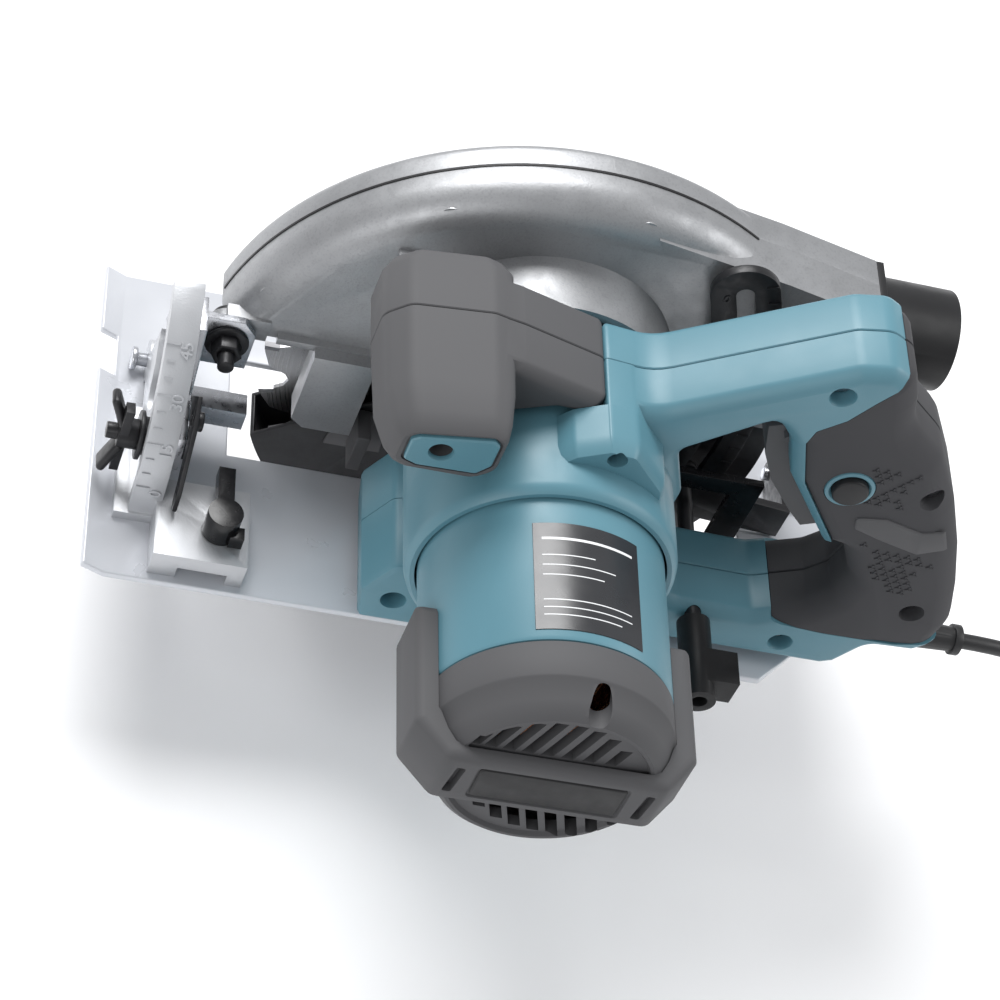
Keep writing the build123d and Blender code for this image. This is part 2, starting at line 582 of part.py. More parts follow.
def pommel():
    knob = [(-77, 116), (-77, 134), (-70, 141.5), (-40, 144.5), (-33, 143), (-33, 114.5), (-46, 108), (-66, 108)]
    arm = [(-34, 143.2), (1, 133), (1, 123.2), (-14, 123.6), (-34, 115)]
    for name, y0, y1, a0, a1 in (("pommel_far", SPLIT_Y, -38, SPLIT_Y, HANDLE_FAR),
                                 ("pommel_near", -117, SPLIT_Y, HANDLE_NEAR, SPLIT_Y)):
        body = slab_y(outline(knob), y0, y1) + slab_y(outline(arm), a0, a1)
        hollow = block(-73, -38, y0 + 4 if y0 < SPLIT_Y else y0 - 1, y1 - 4 if y1 > SPLIT_Y else y1 + 1, 118, 138)
        body -= hollow
        body -= cyl_y(MOTOR_X, MOTOR_Z, COLLAR_R, -125, -30)
        body -= cyl_y(MOTOR_X, MOTOR_Z, 50.3, CASE_NEAR - 0.3, -30)
        if y0 < SPLIT_Y:
            body -= cyl_y(*POMMEL_SCREW, 4.4, -118, -114)
        save(name, body)
    inset = block(-68, -40, -118.4, -117, 122, 139) - cyl_y(*POMMEL_SCREW, 4.4, -120, -110)
    save("pommel_inset", inset)


def motor_shells():
    can = ring_y(MOTOR_X, MOTOR_Z, CAN_R, CAN_INNER_R, CAN_NEAR, -75)
    save("motor_can", can)
    cap = cyl_y(MOTOR_X, MOTOR_Z, CAN_R, CAP_NEAR, CAN_NEAR)
    rim = cap.edges().filter_by(GeomType.CIRCLE).sort_by(Axis.Y)[0]
    cap = chamfer(rim, 5)
    cap -= cyl_y(MOTOR_X, MOTOR_Z, CAN_INNER_R - 1.5, -199, CAN_NEAR + 1)
    cap += cyl_y(MOTOR_X, MOTOR_Z, 14, -200, -189)
    cap -= cyl_y(MOTOR_X, MOTOR_Z, 11, -197.2, -188)
    for side in (1, -1):
        for column in range(-3, 4):
            slot = block(-1.6, 1.6, -210, -192, 15.5, 32 - abs(column) * 1.6)
            slot = slot.rotate(Axis.Y, 24 * side)
            cap -= Pos(MOTOR_X + column * 7.4 - 5.5 * side, 0, MOTOR_Z + (0 if side == 1 else -47)) * slot
    save("motor_end_cap", cap)
    points = [(-53, -150), (-53, -195), (-42, -207), (32, -207), (43, -195), (43, -150)]
    band = extrude(Plane.XY.offset(MOTOR_Z - 12) * outline(points), amount=24)
    can_block = cyl_y(MOTOR_X, MOTOR_Z, CAN_R, CAP_NEAR, -140)
    band -= chamfer(can_block.edges().filter_by(GeomType.CIRCLE).sort_by(Axis.Y)[0], 5)
    save("end_cap_bumper", band)
    label = ring_y(MOTOR_X, MOTOR_Z, CAN_R + 0.8, CAN_R + 0.05, -172, -130) & block(2, 40, -172, -130, 90, 130)
    save("rating_plate", label)


def motor_inside():
    stator = ring_y(MOTOR_X, MOTOR_Z, CAN_INNER_R - 0.1, 24.6, -150, -95)
    save("stator_core", stator)
    ends = []
    for y0, y1 in ((-162, -150), (-95, -83)):
        for side in (1, -1):
            arch = ring_y(MOTOR_X, MOTOR_Z, 36, 26, y0, y1)
            ends.append(arch & block(-60, 60, -200, -50, MOTOR_Z + side * 22 - 20, MOTOR_Z + side * 22 + 20))
    save("field_windings", Compound(children=ends))
    holders = []
    brushes = []
    for side in (1, -1):
        z = sorted((MOTOR_Z + side * 15, MOTOR_Z + side * 37))
        holder = block(MOTOR_X - 6, MOTOR_X + 6, -176, -165, *z)
        holder -= block(MOTOR_X - 4, MOTOR_X + 4, -174, -167, z[0] - 1, z[1] + 1)
        holders.append(holder)
        z = sorted((MOTOR_Z + side * 13.1, MOTOR_Z + side * 27))
        brushes.append(block(MOTOR_X - 3.9, MOTOR_X + 3.9, -173.9, -167.1, *z))
    save("brush_gear", Compound(children=holders + brushes))
    save("switch_module", block(101, 121, -76, -58, 92, 114))


def controls():
    trigger = slab_y(outline(TRIGGER), SPLIT_Y - 7, SPLIT_Y + 7)
    trigger += cyl_y(*TRIGGER_PIN, 1.5 - RUN_FIT, SPLIT_Y - 10.5, SPLIT_Y + 10.5)
    save("trigger", trigger)
    button = cyl_y(*BUTTON_AT, 6.5, -89.5, -82) + cyl_y(*BUTTON_AT, 3, -82, -79.5)
    save("lock_off_button", button)
    rod = cyl_y(ROD_X, ROD_Z, ROD_R, -112, -17.6) + cyl_y(ROD_X, ROD_Z, 6, -20.2, -17.6)
    save("depth_clamp_rod", rod)
    lever = cyl_y(ROD_X, ROD_Z, 6.2, -125, -90) + block(ROD_X, ROD_X + 14, -119, -105, ROD_Z - 6, ROD_Z + 6)
    lever -= cyl_y(ROD_X, ROD_Z, ROD_R + RUN_FIT, -130, -80)
    save("depth_lock_lever", lever)
    lock = block(84, 95, -36, -33, 4, 46) + block(46, 95, -36, -33, 38, 46) + block(46, 50, -36, -19, 26, 46)
    lock += cyl_x(LOCK_STEM_Y, LOCK_STEM_Z, 2.5, 41, 47)
    save("spindle_lock", lock)


def pivot_hardware():
    bolt = cyl_y(PIVOT_X, PIVOT_Z, 3.0, -34, -12) + cyl_y(PIVOT_X, PIVOT_Z, 5.5, -12, -8.6)
    washer = ring_y(PIVOT_X, PIVOT_Z, 8.0, 3.0, -23.0, -21.4)
    nut = hex_y(PIVOT_X, PIVOT_Z, 10, -28.4, -23.0) - cyl_y(PIVOT_X, PIVOT_Z, 3.0, -30, -20)
    save("depth_pivot_bolt", Compound(children=[bolt, washer, nut]))
    screws = []
    for x, z in GUARD_SCREWS:
        screws.append(cyl_y(x, z, 2.0, -12, 12.9) + cyl_y(x, z, 3.6, 13.0, 15.2) + cyl_y(x, z, 2.0, 12.8, 13.1))
    save("guard_screws", Compound(children=screws))


def dust_outlet():
    flange = block(112.1, 115, GUARD_NEAR, GUARD_FAR, DUST_Z - 21, DUST_Z + 21)
    pipe = cyl_x(0, DUST_Z, DUST_R, 112.1, DUST_END) + flange
    pipe -= cyl_x(0, DUST_Z, DUST_R - 2.2, 105, DUST_END + 1)
    save("dust_outlet", pipe)


# ---------------------------------------------------------------- cord


def cord():
    points = [Vector(*p) for p in CORD_ROUTE]
    radii = []
    for before, here, after in zip(points, points[1:], points[2:]):
        turn = (here - before).get_angle(after - here)
        radii.append(0.45 * min((here - before).length, (after - here).length) / tan(radians(turn / 2)))
    print("cord radii", [round(r, 1) for r in radii])
    path = FilletPolyline(*points, radius=radii)
    start = Plane(origin=points[0], z_dir=points[1] - points[0])
    tube = sweep(start * Circle(CORD_R), path=path)
    print("cord length", round(path.length, 1))
    save("power_cord", tube)
    coil = Pos(*COIL_AT) * Torus(COIL_R, COIL_TUBE)
    save("cord_coil", coil)
    tie = Pos(COIL_AT[0], COIL_AT[1] + COIL_R, COIL_AT[2]) * Rot(0, 90, 0) * Cylinder(COIL_TUBE + 0.7, 9)
    save("coil_tie", tie - coil)


def plug():
    x, y, z = PLUG_AT
    body = Pos(x, y, z) * Box(22, 32, 16)
    body += Pos(x, y - 24, z) * Rot(-90, 0, 0) * Cone(4.4, 6.5, 16)
    for side in (-1, 1):
        body += cyl_y(x + side * 7, z, 2.0, y + 15, y + 35)
    save("plug", body)


def strain_relief():
    sleeve = Pos(166, SPLIT_Y, SLEEVE_Z) * Rot(0, 90, 0) * Cone(6.1, 4.8, 32)
    sleeve += cyl_x(SPLIT_Y, SLEEVE_Z, 6.1, 141, 150.5)
    sleeve += cyl_x(SPLIT_Y, SLEEVE_Z, 6.0, 181, 184)
    save("strain_relief", sleeve)


for builder in (base_plate, front_quadrant, base_rivets, rear_pivot_bracket, tilt_pins, fence_lock,
                front_tilt_bracket, tilt_clamp, tilt_pointer, depth_guide, upper_guard, guard_cover,
                spindle_set, blade, armature, ball_bearings, lower_guard, handle_shells, grip_halves,
                handle_screws, pommel,
                motor_shells, motor_inside, controls, pivot_hardware, dust_outlet, strain_relief, cord, plug):
    builder()
    print(builder.__name__, "done", flush=True)
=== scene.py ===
"""Dresses a corded circular saw over its working frame.

The frame gives the moving solids. This file adds the moulded housings, the castings'
raised marks, the grip's pattern, the cord, every finish and the studio.
Sizes in the code are millimetres; meshes are made in metres.
"""
import json
from math import atan2, cos, pi, radians, sin, sqrt, tan

import bmesh
import bpy
from bpy.props import FloatProperty, FloatVectorProperty, IntProperty, PointerProperty
from mathutils import Matrix, Vector


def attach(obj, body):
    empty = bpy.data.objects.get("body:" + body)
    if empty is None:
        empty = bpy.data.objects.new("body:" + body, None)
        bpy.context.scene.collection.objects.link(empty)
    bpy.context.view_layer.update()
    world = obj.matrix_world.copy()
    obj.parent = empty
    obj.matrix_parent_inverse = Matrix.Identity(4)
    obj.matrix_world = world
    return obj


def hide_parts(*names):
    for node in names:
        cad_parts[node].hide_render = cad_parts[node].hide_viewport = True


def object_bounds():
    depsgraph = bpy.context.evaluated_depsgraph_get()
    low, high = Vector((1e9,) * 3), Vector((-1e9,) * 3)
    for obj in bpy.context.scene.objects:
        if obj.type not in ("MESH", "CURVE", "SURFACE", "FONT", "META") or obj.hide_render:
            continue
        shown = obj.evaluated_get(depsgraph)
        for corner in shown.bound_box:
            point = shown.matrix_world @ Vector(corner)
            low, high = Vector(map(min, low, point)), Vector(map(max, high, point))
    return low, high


bl_info = {
    "name": "Circular Saw Builder",
    "version": (1, 0, 0),
    "blender": (4, 5, 0),
    "location": "View3D > Sidebar > Saw",
    "description": "Builds a corded circular saw with a tilting sole around its working frame",
    "category": "Add Mesh",
}

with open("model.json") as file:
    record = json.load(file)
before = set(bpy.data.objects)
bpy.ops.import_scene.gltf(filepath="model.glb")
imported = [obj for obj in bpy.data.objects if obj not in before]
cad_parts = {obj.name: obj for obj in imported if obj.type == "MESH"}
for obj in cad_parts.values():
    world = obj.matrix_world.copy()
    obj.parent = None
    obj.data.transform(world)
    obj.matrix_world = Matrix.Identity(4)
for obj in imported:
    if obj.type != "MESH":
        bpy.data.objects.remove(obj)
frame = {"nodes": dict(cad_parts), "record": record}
CAD_BOX = [list(corner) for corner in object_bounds()]
NODES = frame["nodes"]

MM = 0.001
ARBOR = Vector((0.0, 0.0, 34.0))
MOTOR = Vector((-5.0, 0.0, 75.7))
TILT_AXIS = Vector((0.0, 4.0, 8.0))
DEPTH_PIVOT = Vector((-113.5, 0.0, 55.0))
SPLIT = -67.0
NEAR = -87.0
FAR = -47.0
SEAM = 0.14


# ------------------------------------------------------------------ settings
class SawSizes(bpy.types.PropertyGroup):
    """Sizes that a maker would change."""

    edge_round: FloatProperty(
        name="Edge rounding", description="Radius on the small parts' edges", default=0.0005, unit="LENGTH")
    cord_diameter: FloatProperty(
        name="Cord diameter", description="Outside diameter of the mains cord", default=0.0062, unit="LENGTH")
    cord_turns: FloatProperty(
        name="Coil turns", description="Turns in the put-away coil", default=6.25)
    degree_marks: IntProperty(
        name="Bevel marks", description="Marks on the bevel quadrant", default=10)
    depth_marks: IntProperty(
        name="Depth marks", description="Marks on the depth guide", default=14)
    stud_pitch: FloatProperty(
        name="Grip stud pitch", description="Distance between the grip's raised studs", default=0.0040,
        unit="LENGTH")


class SawColours(bpy.types.PropertyGroup):
    """Colours of the finishes."""

    housing: FloatVectorProperty(
        name="Housing", description="Moulded housing", subtype="COLOR", size=3, default=(0.088, 0.215, 0.268))
    charcoal: FloatVectorProperty(
        name="Charcoal", description="Front handle and end cap", subtype="COLOR", size=3,
        default=(0.017, 0.0175, 0.019))
    rubber: FloatVectorProperty(
        name="Grip rubber", description="Rear grip", subtype="COLOR", size=3, default=(0.012, 0.012, 0.0125))
    casting: FloatVectorProperty(
        name="Casting", description="Blade guard and quadrant", subtype="COLOR", size=3,
        default=(0.33, 0.335, 0.345))
    sole: FloatVectorProperty(
        name="Sole", description="Painted sole plate", subtype="COLOR", size=3, default=(0.60, 0.615, 0.65))


def sizes():
    return bpy.context.scene.saw_sizes


def colours():
    return bpy.context.scene.saw_colours


# ------------------------------------------------------------------ finishes
def add_node(tree, kind, inputs=None, **settings):
    made = tree.nodes.new(kind)
    for key, value in settings.items():
        setattr(made, key, value)
    for key, value in (inputs or {}).items():
        if isinstance(value, bpy.types.NodeSocket):
            tree.links.new(value, made.inputs[key])
        else:
            made.inputs[key].default_value = value
    return made


def tinted(colour, factor):
    return (*[min(1.0, c * factor) for c in colour], 1.0)


def object_coords(tree, stretch=(1, 1, 1), centre=(0, 0, 0)):
    coords = add_node(tree, "ShaderNodeTexCoord")
    shifted = add_node(tree, "ShaderNodeVectorMath", {0: coords.outputs["Object"], 1: Vector(centre) * MM},
                       operation="SUBTRACT")
    mapping = add_node(tree, "ShaderNodeMapping", {"Vector": shifted.outputs["Vector"], "Scale": stretch})
    return mapping.outputs["Vector"]


def noise(tree, coords, scale, detail=3.0, rough=0.5):
    return add_node(tree, "ShaderNodeTexNoise",
                    {"Vector": coords, "Scale": scale, "Detail": detail, "Roughness": rough}).outputs["Fac"]


def spread(tree, value, low, high, from_low=0.3, from_high=0.7):
    return add_node(tree, "ShaderNodeMapRange",
                    {"Value": value, "From Min": from_low, "From Max": from_high, "To Min": low, "To Max": high}
                    ).outputs["Result"]


def finish(name, colour, roughness, metallic=0.0, mottle=0.06, mottle_scale=45.0, grain_scale=1800.0,
           grain_depth=0.05, rough_range=0.05, stretch=(1, 1, 1), coat=0.0, specular=0.5, wear=0.0):
    """A surface with cloudy colour, uneven gloss and a fine moulded or brushed grain."""
    found = bpy.data.materials.get(name)
    if found:
        return found
    material = bpy.data.materials.new(name)
    material.use_nodes = True
    tree = material.node_tree
    shader = tree.nodes["Principled BSDF"]
    coords = object_coords(tree, stretch)
    clouds = noise(tree, coords, mottle_scale)
    tone = add_node(tree, "ShaderNodeMix", {"Factor": spread(tree, clouds, 0.0, 1.0),
                                            6: tinted(colour, 1 - mottle), 7: tinted(colour, 1 + mottle)},
                    data_type="RGBA")
    tone_out = tone.outputs[2]
    if wear:
        scuffs = noise(tree, object_coords(tree, (1, 1, 1)), 320.0, 6.0, 0.7)
        rubbed = add_node(tree, "ShaderNodeMix", {"Factor": spread(tree, scuffs, 0.0, wear, 0.56, 0.72),
                                                  6: tone_out, 7: tinted(colour, 1.5)}, data_type="RGBA")
        tone_out = rubbed.outputs[2]
    tree.links.new(tone_out, shader.inputs["Base Color"])
    grain = noise(tree, coords, grain_scale, 2.0, 0.6)
    patches = noise(tree, coords, mottle_scale * 3.1, 4.0)
    gloss = spread(tree, patches, roughness - rough_range, roughness + rough_range)
    tree.links.new(gloss, shader.inputs["Roughness"])
    bump = add_node(tree, "ShaderNodeBump", {"Height": grain, "Strength": 1.0, "Distance": grain_depth * MM})
    tree.links.new(bump.outputs["Normal"], shader.inputs["Normal"])
    shader.inputs["Metallic"].default_value = metallic
    shader.inputs["Specular IOR Level"].default_value = specular
    shader.inputs["Coat Weight"].default_value = coat
    shader.inputs["Coat Roughness"].default_value = 0.25
    return material


def housing_plastic():
    return finish("housing_plastic", colours().housing, 0.42, mottle=0.035, mottle_scale=30, grain_scale=2300,
                  grain_depth=0.020, rough_range=0.04)


def charcoal_plastic():
    return finish("charcoal_plastic", colours().charcoal, 0.46, mottle=0.06, mottle_scale=26, grain_scale=2100,
                  grain_depth=0.028, rough_range=0.05, specular=0.22)


def grip_rubber():
    return finish("grip_rubber", colours().rubber, 0.58, mottle=0.08, mottle_scale=38, grain_scale=2600,
                  grain_depth=0.03, rough_range=0.06, specular=0.18)


def gloss_black():
    return finish("gloss_black", (0.006, 0.006, 0.007), 0.24, mottle=0.15, mottle_scale=80, grain_scale=900,
                  grain_depth=0.015, rough_range=0.06, coat=0.1, specular=0.35)


def black_oxide():
    return finish("black_oxide", (0.017, 0.017, 0.019), 0.38, metallic=0.35, mottle=0.2, mottle_scale=120,
                  grain_scale=1500, grain_depth=0.02, rough_range=0.10, wear=0.25)


def zinc_plate():
    return finish("zinc_plate", (0.56, 0.57, 0.60), 0.30, metallic=1.0, mottle=0.10, mottle_scale=90,
                  grain_scale=1400, grain_depth=0.012, rough_range=0.08)


def carbide():
    return finish("carbide", (0.22, 0.22, 0.23), 0.34, metallic=0.9, mottle=0.2, mottle_scale=300,
                  grain_scale=2500, grain_depth=0.008, rough_range=0.1)


def motor_iron():
    return finish("motor_iron", (0.10, 0.10, 0.11), 0.5, metallic=0.8, mottle=0.2, mottle_scale=60,
                  grain_scale=1400, grain_depth=0.03, stretch=(1, 16, 1))


def copper_wire():
    return finish("copper_wire", (0.60, 0.25, 0.11), 0.3, metallic=0.9, mottle=0.25, mottle_scale=150,
                  grain_scale=600, grain_depth=0.12, stretch=(1, 5, 5))


def dark_moulding():
    return finish("dark_moulding", (0.014, 0.014, 0.015), 0.45, mottle=0.1, mottle_scale=50, grain_scale=1900,
                  grain_depth=0.02, specular=0.28)


def cord_jacket():
    return finish("cord_jacket", (0.013, 0.013, 0.014), 0.45, mottle=0.1, mottle_scale=60, grain_scale=1600,
                  grain_depth=0.02)


def label_film():
    return finish("label_film", (0.020, 0.021, 0.024), 0.30, mottle=0.05, mottle_scale=30, grain_scale=900,
                  grain_depth=0.004, coat=0.2)


def print_white():
    return finish("print_white", (0.72, 0.73, 0.74), 0.5, mottle=0.04, mottle_scale=90, grain_scale=1500,
                  grain_depth=0.004)


def sole_paint():
    return finish("sole_paint", colours().sole, 0.34, metallic=0.25, mottle=0.025, mottle_scale=18,
                  grain_scale=1200, grain_depth=0.012, rough_range=0.07)


def cast_paint():
    """Silver paint on a sand-textured casting: pebbled bump with light and dark flecks."""
    found = bpy.data.materials.get("cast_paint")
    if found:
        return found
    colour = colours().casting
    material = bpy.data.materials.new("cast_paint")
    material.use_nodes = True
    tree = material.node_tree
    shader = tree.nodes["Principled BSDF"]
    coords = object_coords(tree)
    clouds = noise(tree, coords, 28.0, 4.0)
    flecks = add_node(tree, "ShaderNodeTexVoronoi", {"Vector": coords, "Scale": 1500.0})
    tone = add_node(tree, "ShaderNodeMix", {"Factor": spread(tree, clouds, 0.0, 1.0), 6: tinted(colour, 0.93),
                                            7: tinted(colour, 1.06)}, data_type="RGBA")
    speckle = add_node(tree, "ShaderNodeMix",
                       {"Factor": spread(tree, flecks.outputs["Color"], 0.0, 0.30, 0.55, 0.95),
                        6: tone.outputs[2], 7: tinted(colour, 0.62)}, data_type="RGBA")
    tree.links.new(speckle.outputs[2], shader.inputs["Base Color"])
    rough = spread(tree, noise(tree, coords, 150.0), 0.36, 0.50)
    tree.links.new(rough, shader.inputs["Roughness"])
    sand = noise(tree, coords, 1100.0, 4.0, 0.65)
    bump = add_node(tree, "ShaderNodeBump", {"Height": sand, "Strength": 1.0, "Distance": 0.07 * MM})
    tree.links.new(bump.outputs["Normal"], shader.inputs["Normal"])
    shader.inputs["Metallic"].default_value = 0.65
    return material


def quadrant_paint():
    return finish("quadrant_paint", (0.50, 0.51, 0.53), 0.40, metallic=0.5, mottle=0.04, mottle_scale=40,
                  grain_scale=1300, grain_depth=0.05, rough_range=0.06)


def turned_steel():
    """Blade steel with the fine rings that grinding leaves round the arbor."""
    found = bpy.data.materials.get("turned_steel")
    if found:
        return found
    material = bpy.data.materials.new("turned_steel")
    material.use_nodes = True
    tree = material.node_tree
    shader = tree.nodes["Principled BSDF"]
    coords = object_coords(tree, (1, 0, 1), tuple(ARBOR))
    reach = add_node(tree, "ShaderNodeVectorMath", {0: coords}, operation="LENGTH").outputs["Value"]
    rings = add_node(tree, "ShaderNodeTexNoise", {"W": reach, "Scale": 2600.0, "Detail": 3.0},
                     noise_dimensions="1D").outputs["Fac"]
    tone = add_node(tree, "ShaderNodeMix", {"Factor": rings, 6: (0.40, 0.40, 0.41, 1),
                                            7: (0.60, 0.60, 0.61, 1)}, data_type="RGBA")
    tree.links.new(tone.outputs[2], shader.inputs["Base Color"])
    tree.links.new(spread(tree, rings, 0.24, 0.40), shader.inputs["Roughness"])
    bump = add_node(tree, "ShaderNodeBump", {"Height": rings, "Strength": 1.0, "Distance": 0.008 * MM})
    tree.links.new(bump.outputs["Normal"], shader.inputs["Normal"])
    shader.inputs["Metallic"].default_value = 1.0
    return material


SLOT_FINISH = {
    "teal_plastic": housing_plastic,
    "charcoal_plastic": charcoal_plastic,
    "grip_rubber": grip_rubber,
    "black_plastic": gloss_black,
    "cast_guard": cast_paint,
    "zinc_steel": zinc_plate,
    "sole_steel": sole_paint,
    "black_steel": black_oxide,
    "blade_steel": turned_steel,
    "carbide": carbide,
    "copper": copper_wire,
    "motor_iron": motor_iron,
    "cord_rubber": cord_jacket,
    "label": label_film,
}
NODE_SLOT = {entry["node"]: entry["material_slot"] for entry in frame["record"]["subparts"]}
BODY_OF = {node: body for body, nodes in frame["record"]["behaviour"]["bodies"].items() for node in nodes}


# ------------------------------------------------------------------ mesh helpers
def add_object(name, mesh):
    made = bpy.data.objects.new(name, mesh)
    bpy.context.scene.collection.objects.link(made)
    return made


def from_work(name, work, smooth_angle=38):
    """An object from a bmesh given in millimetres, smooth-shaded up to an angle."""
    bmesh.ops.remove_doubles(work, verts=work.verts, dist=0.002)
    bmesh.ops.recalc_face_normals(work, faces=work.faces)
    bmesh.ops.scale(work, vec=(MM, MM, MM), verts=work.verts)
    mesh = bpy.data.meshes.new(name)
    work.to_mesh(mesh)
    work.free()
    mesh.shade_smooth()
    mesh.set_sharp_from_angle(angle=radians(smooth_angle))
    return add_object(name, mesh)


def settled(obj, smooth_angle=38):
    """The object with its modifiers worked into a plain mesh."""
    graph = bpy.context.evaluated_depsgraph_get()
    mesh = bpy.data.meshes.new_from_object(obj.evaluated_get(graph), depsgraph=graph)
    obj.modifiers.clear()
    obj.data = mesh
    mesh.shade_smooth()
    mesh.set_sharp_from_angle(angle=radians(smooth_angle))
    return obj


def fitted(obj, body, material, stands_for=()):
    """Gives a piece its finish and fastens it to a body of the frame."""
    obj.data.materials.clear()
    obj.data.materials.append(material)
    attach(obj, body)
    if stands_for:
        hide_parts(*stands_for)
    return obj


def softened(node, width=0.5, segments=2, material=None, angle=32):
    """A copy of a frame part with its edges rounded, which then stands for it."""
    work = bmesh.new()
    work.from_mesh(NODES[node].data)
    bmesh.ops.remove_doubles(work, verts=work.verts, dist=0.004 * MM)
    bmesh.ops.dissolve_limit(work, angle_limit=radians(0.6), verts=work.verts, edges=work.edges)
    mesh = bpy.data.meshes.new(node + "_finished")
    work.to_mesh(mesh)
    work.free()
    piece = add_object(node + "_finished", mesh)
    bevel = piece.modifiers.new("edges", "BEVEL")
    bevel.width = width * MM
    bevel.segments = segments
    bevel.limit_method = "ANGLE"
    bevel.angle_limit = radians(angle)
    bevel.use_clamp_overlap = True
    settled(piece, 50)
    slot = NODE_SLOT[node]
    return fitted(piece, BODY_OF[node], material or SLOT_FINISH[slot](), [node])


def corner_list(points, default):
    return [(p[0], p[1], p[2] if len(p) > 2 else default) for p in points]


def rounded(points, inset=0.0, radius=2.0, samples=4):
    """A closed outline with its corners rounded, moved inwards by inset (outwards if negative)."""
    corners = corner_list(points, radius)
    area = sum(a[0] * b[1] - b[0] * a[1] for a, b in zip(corners, corners[1:] + corners[:1]))
    if area < 0:
        corners.reverse()
    count = len(corners)
    flat = [Vector(c[:2]) for c in corners]
    runs = [(flat[(i + 1) % count] - flat[i]).normalized() for i in range(count)]
    moved = []
    for i in range(count):
        before, after = runs[i - 1], runs[i]
        side_before = Vector((-before.y, before.x))
        side_after = Vector((-after.y, after.x))
        bisector = side_before + side_after
        moved.append(flat[i] + bisector * (inset * 2 / bisector.length_squared))
    result = []
    for i in range(count):
        before, after = runs[i - 1], runs[i]
        cross = before.x * after.y - before.y * after.x
        turn = atan2(cross, before.dot(after))
        size = corners[i][2] - inset if cross > 0 else corners[i][2] + inset
        room = 0.48 * min((moved[i] - moved[i - 1]).length, (moved[(i + 1) % count] - moved[i]).length)
        trim = min(max(size, 0.05) * abs(tan(turn / 2)), room)
        start = moved[i] - before * trim
        end = moved[i] + after * trim
        for k in range(samples + 1):
            t = k / samples
            result.append(start.lerp(moved[i], t).lerp(moved[i].lerp(end, t), t))
    return result


def ring_of(work, points, place):
    return [work.verts.new(place(p)) for p in points]


def bridge(work, lower, upper):
    count = len(lower)
    for i in range(count):
        j = (i + 1) % count
        work.faces.new((lower[i], lower[j], upper[j], upper[i]))


def side_place(y):
    return lambda p: (p[0], y, p[1])


def slab(name, outlines, levels, radius=2.0, samples=4):
    """A solid through side outlines (the first is the outside, others are holes) at levels of (y, inset)."""
    work = bmesh.new()
    rings = [ring_of(work, rounded(outlines[0], inset, radius, samples), side_place(y)) for y, inset in levels]
    for lower, upper in zip(rings, rings[1:]):
        bridge(work, lower, upper)
    work.faces.new(rings[0])
    work.faces.new(rings[-1])
    solid = from_work(name, work)
    for hole in outlines[1:]:
        way = 1 if levels[-1][0] > levels[0][0] else -1
        steps = [(levels[0][0] - way, -levels[0][1])] + [(y, -inset) for y, inset in levels]
        steps.append((levels[-1][0] + way, -levels[-1][1]))
        combined(solid, [slab("hole", [hole], steps, radius, samples)], "DIFFERENCE")
    return solid


def lathe(name, profile, centre, segments=96, angle=38, closed=False):
    """A turned solid round an axis along Y through centre; profile is (radius, y) from end to end.

    A closed profile runs back to its own start and makes a hollow shape.
    """
    work = bmesh.new()
    rings = []
    for r, y in profile:
        if r < 0.01:
            rings.append([work.verts.new((centre[0], y, centre[2]))])
            continue
        turns = [2 * pi * k / segments for k in range(segments)]
        rings.append([work.verts.new((centre[0] + r * cos(a), y, centre[2] + r * sin(a))) for a in turns])
    for lower, upper in zip(rings, rings[1:] + rings[:closed]):
        if len(lower) == 1 and len(upper) == 1:
            continue
        if len(lower) == 1 or len(upper) == 1:
            point, ring = (lower[0], upper) if len(lower) == 1 else (upper[0], lower)
            for i in range(segments):
                work.faces.new((point, ring[i], ring[(i + 1) % segments]))
        else:
            bridge(work, lower, upper)
    if not closed:
        for ring in (rings[0], rings[-1]):
            if len(ring) > 1:
                work.faces.new(ring)
    return from_work(name, work, angle)


def tube(name, r_out, r_in, y0, y1, centre, round_r=0.6, segments=96):
    """A turned ring with rounded rims."""
    e = round_r
    path = [(r_out - e, y0), (r_out - 0.3 * e, y0 + 0.3 * e), (r_out, y0 + e), (r_out, y1 - e),
            (r_out - 0.3 * e, y1 - 0.3 * e), (r_out - e, y1), (r_in + e, y1), (r_in, y1 - e), (r_in, y0 + e),
            (r_in + e, y0)]
    work = bmesh.new()
    rings = []
    for r, y in path:
        turns = [2 * pi * k / segments for k in range(segments)]
        rings.append([work.verts.new((centre[0] + r * cos(a), y, centre[2] + r * sin(a))) for a in turns])
    for lower, upper in zip(rings, rings[1:] + rings[:1]):
        bridge(work, lower, upper)
    return from_work(name, work)


def arc_strip(name, centre, r0, r1, y0, y1, a0, a1, steps=24):
    """A closed strip of rectangular section along an arc round an axis along Y; angles in degrees."""
    work = bmesh.new()
    rows = []
    for r, y in ((r0, y0), (r1, y0), (r1, y1), (r0, y1)):
        turns = [radians(a0 + (a1 - a0) * k / steps) for k in range(steps + 1)]
        rows.append([work.verts.new((centre[0] + r * cos(a), y, centre[2] + r * sin(a))) for a in turns])
    for first, second in zip(rows, rows[1:] + rows[:1]):
        for k in range(steps):
            work.faces.new((first[k], first[k + 1], second[k + 1], second[k]))
    for k in (0, steps):
        work.faces.new([row[k] for row in rows])
    return from_work(name, work)


def cutter_y(x, z, r, y0, y1, segments=40):
    return lathe("cutter", [(r, y0), (r, y1)], (x, 0, z), segments)


def box_piece(name, low, high, edge=0.0, segments=2):
    work = bmesh.new()
    bmesh.ops.create_cube(work, size=1)
    for v in work.verts:
        v.co = Vector([low[i] + (v.co[i] + 0.5) * (high[i] - low[i]) for i in range(3)])
    if edge:
        bmesh.ops.bevel(work, geom=work.edges, offset=edge, segments=segments, profile=0.5, affect="EDGES")
    return from_work(name, work)


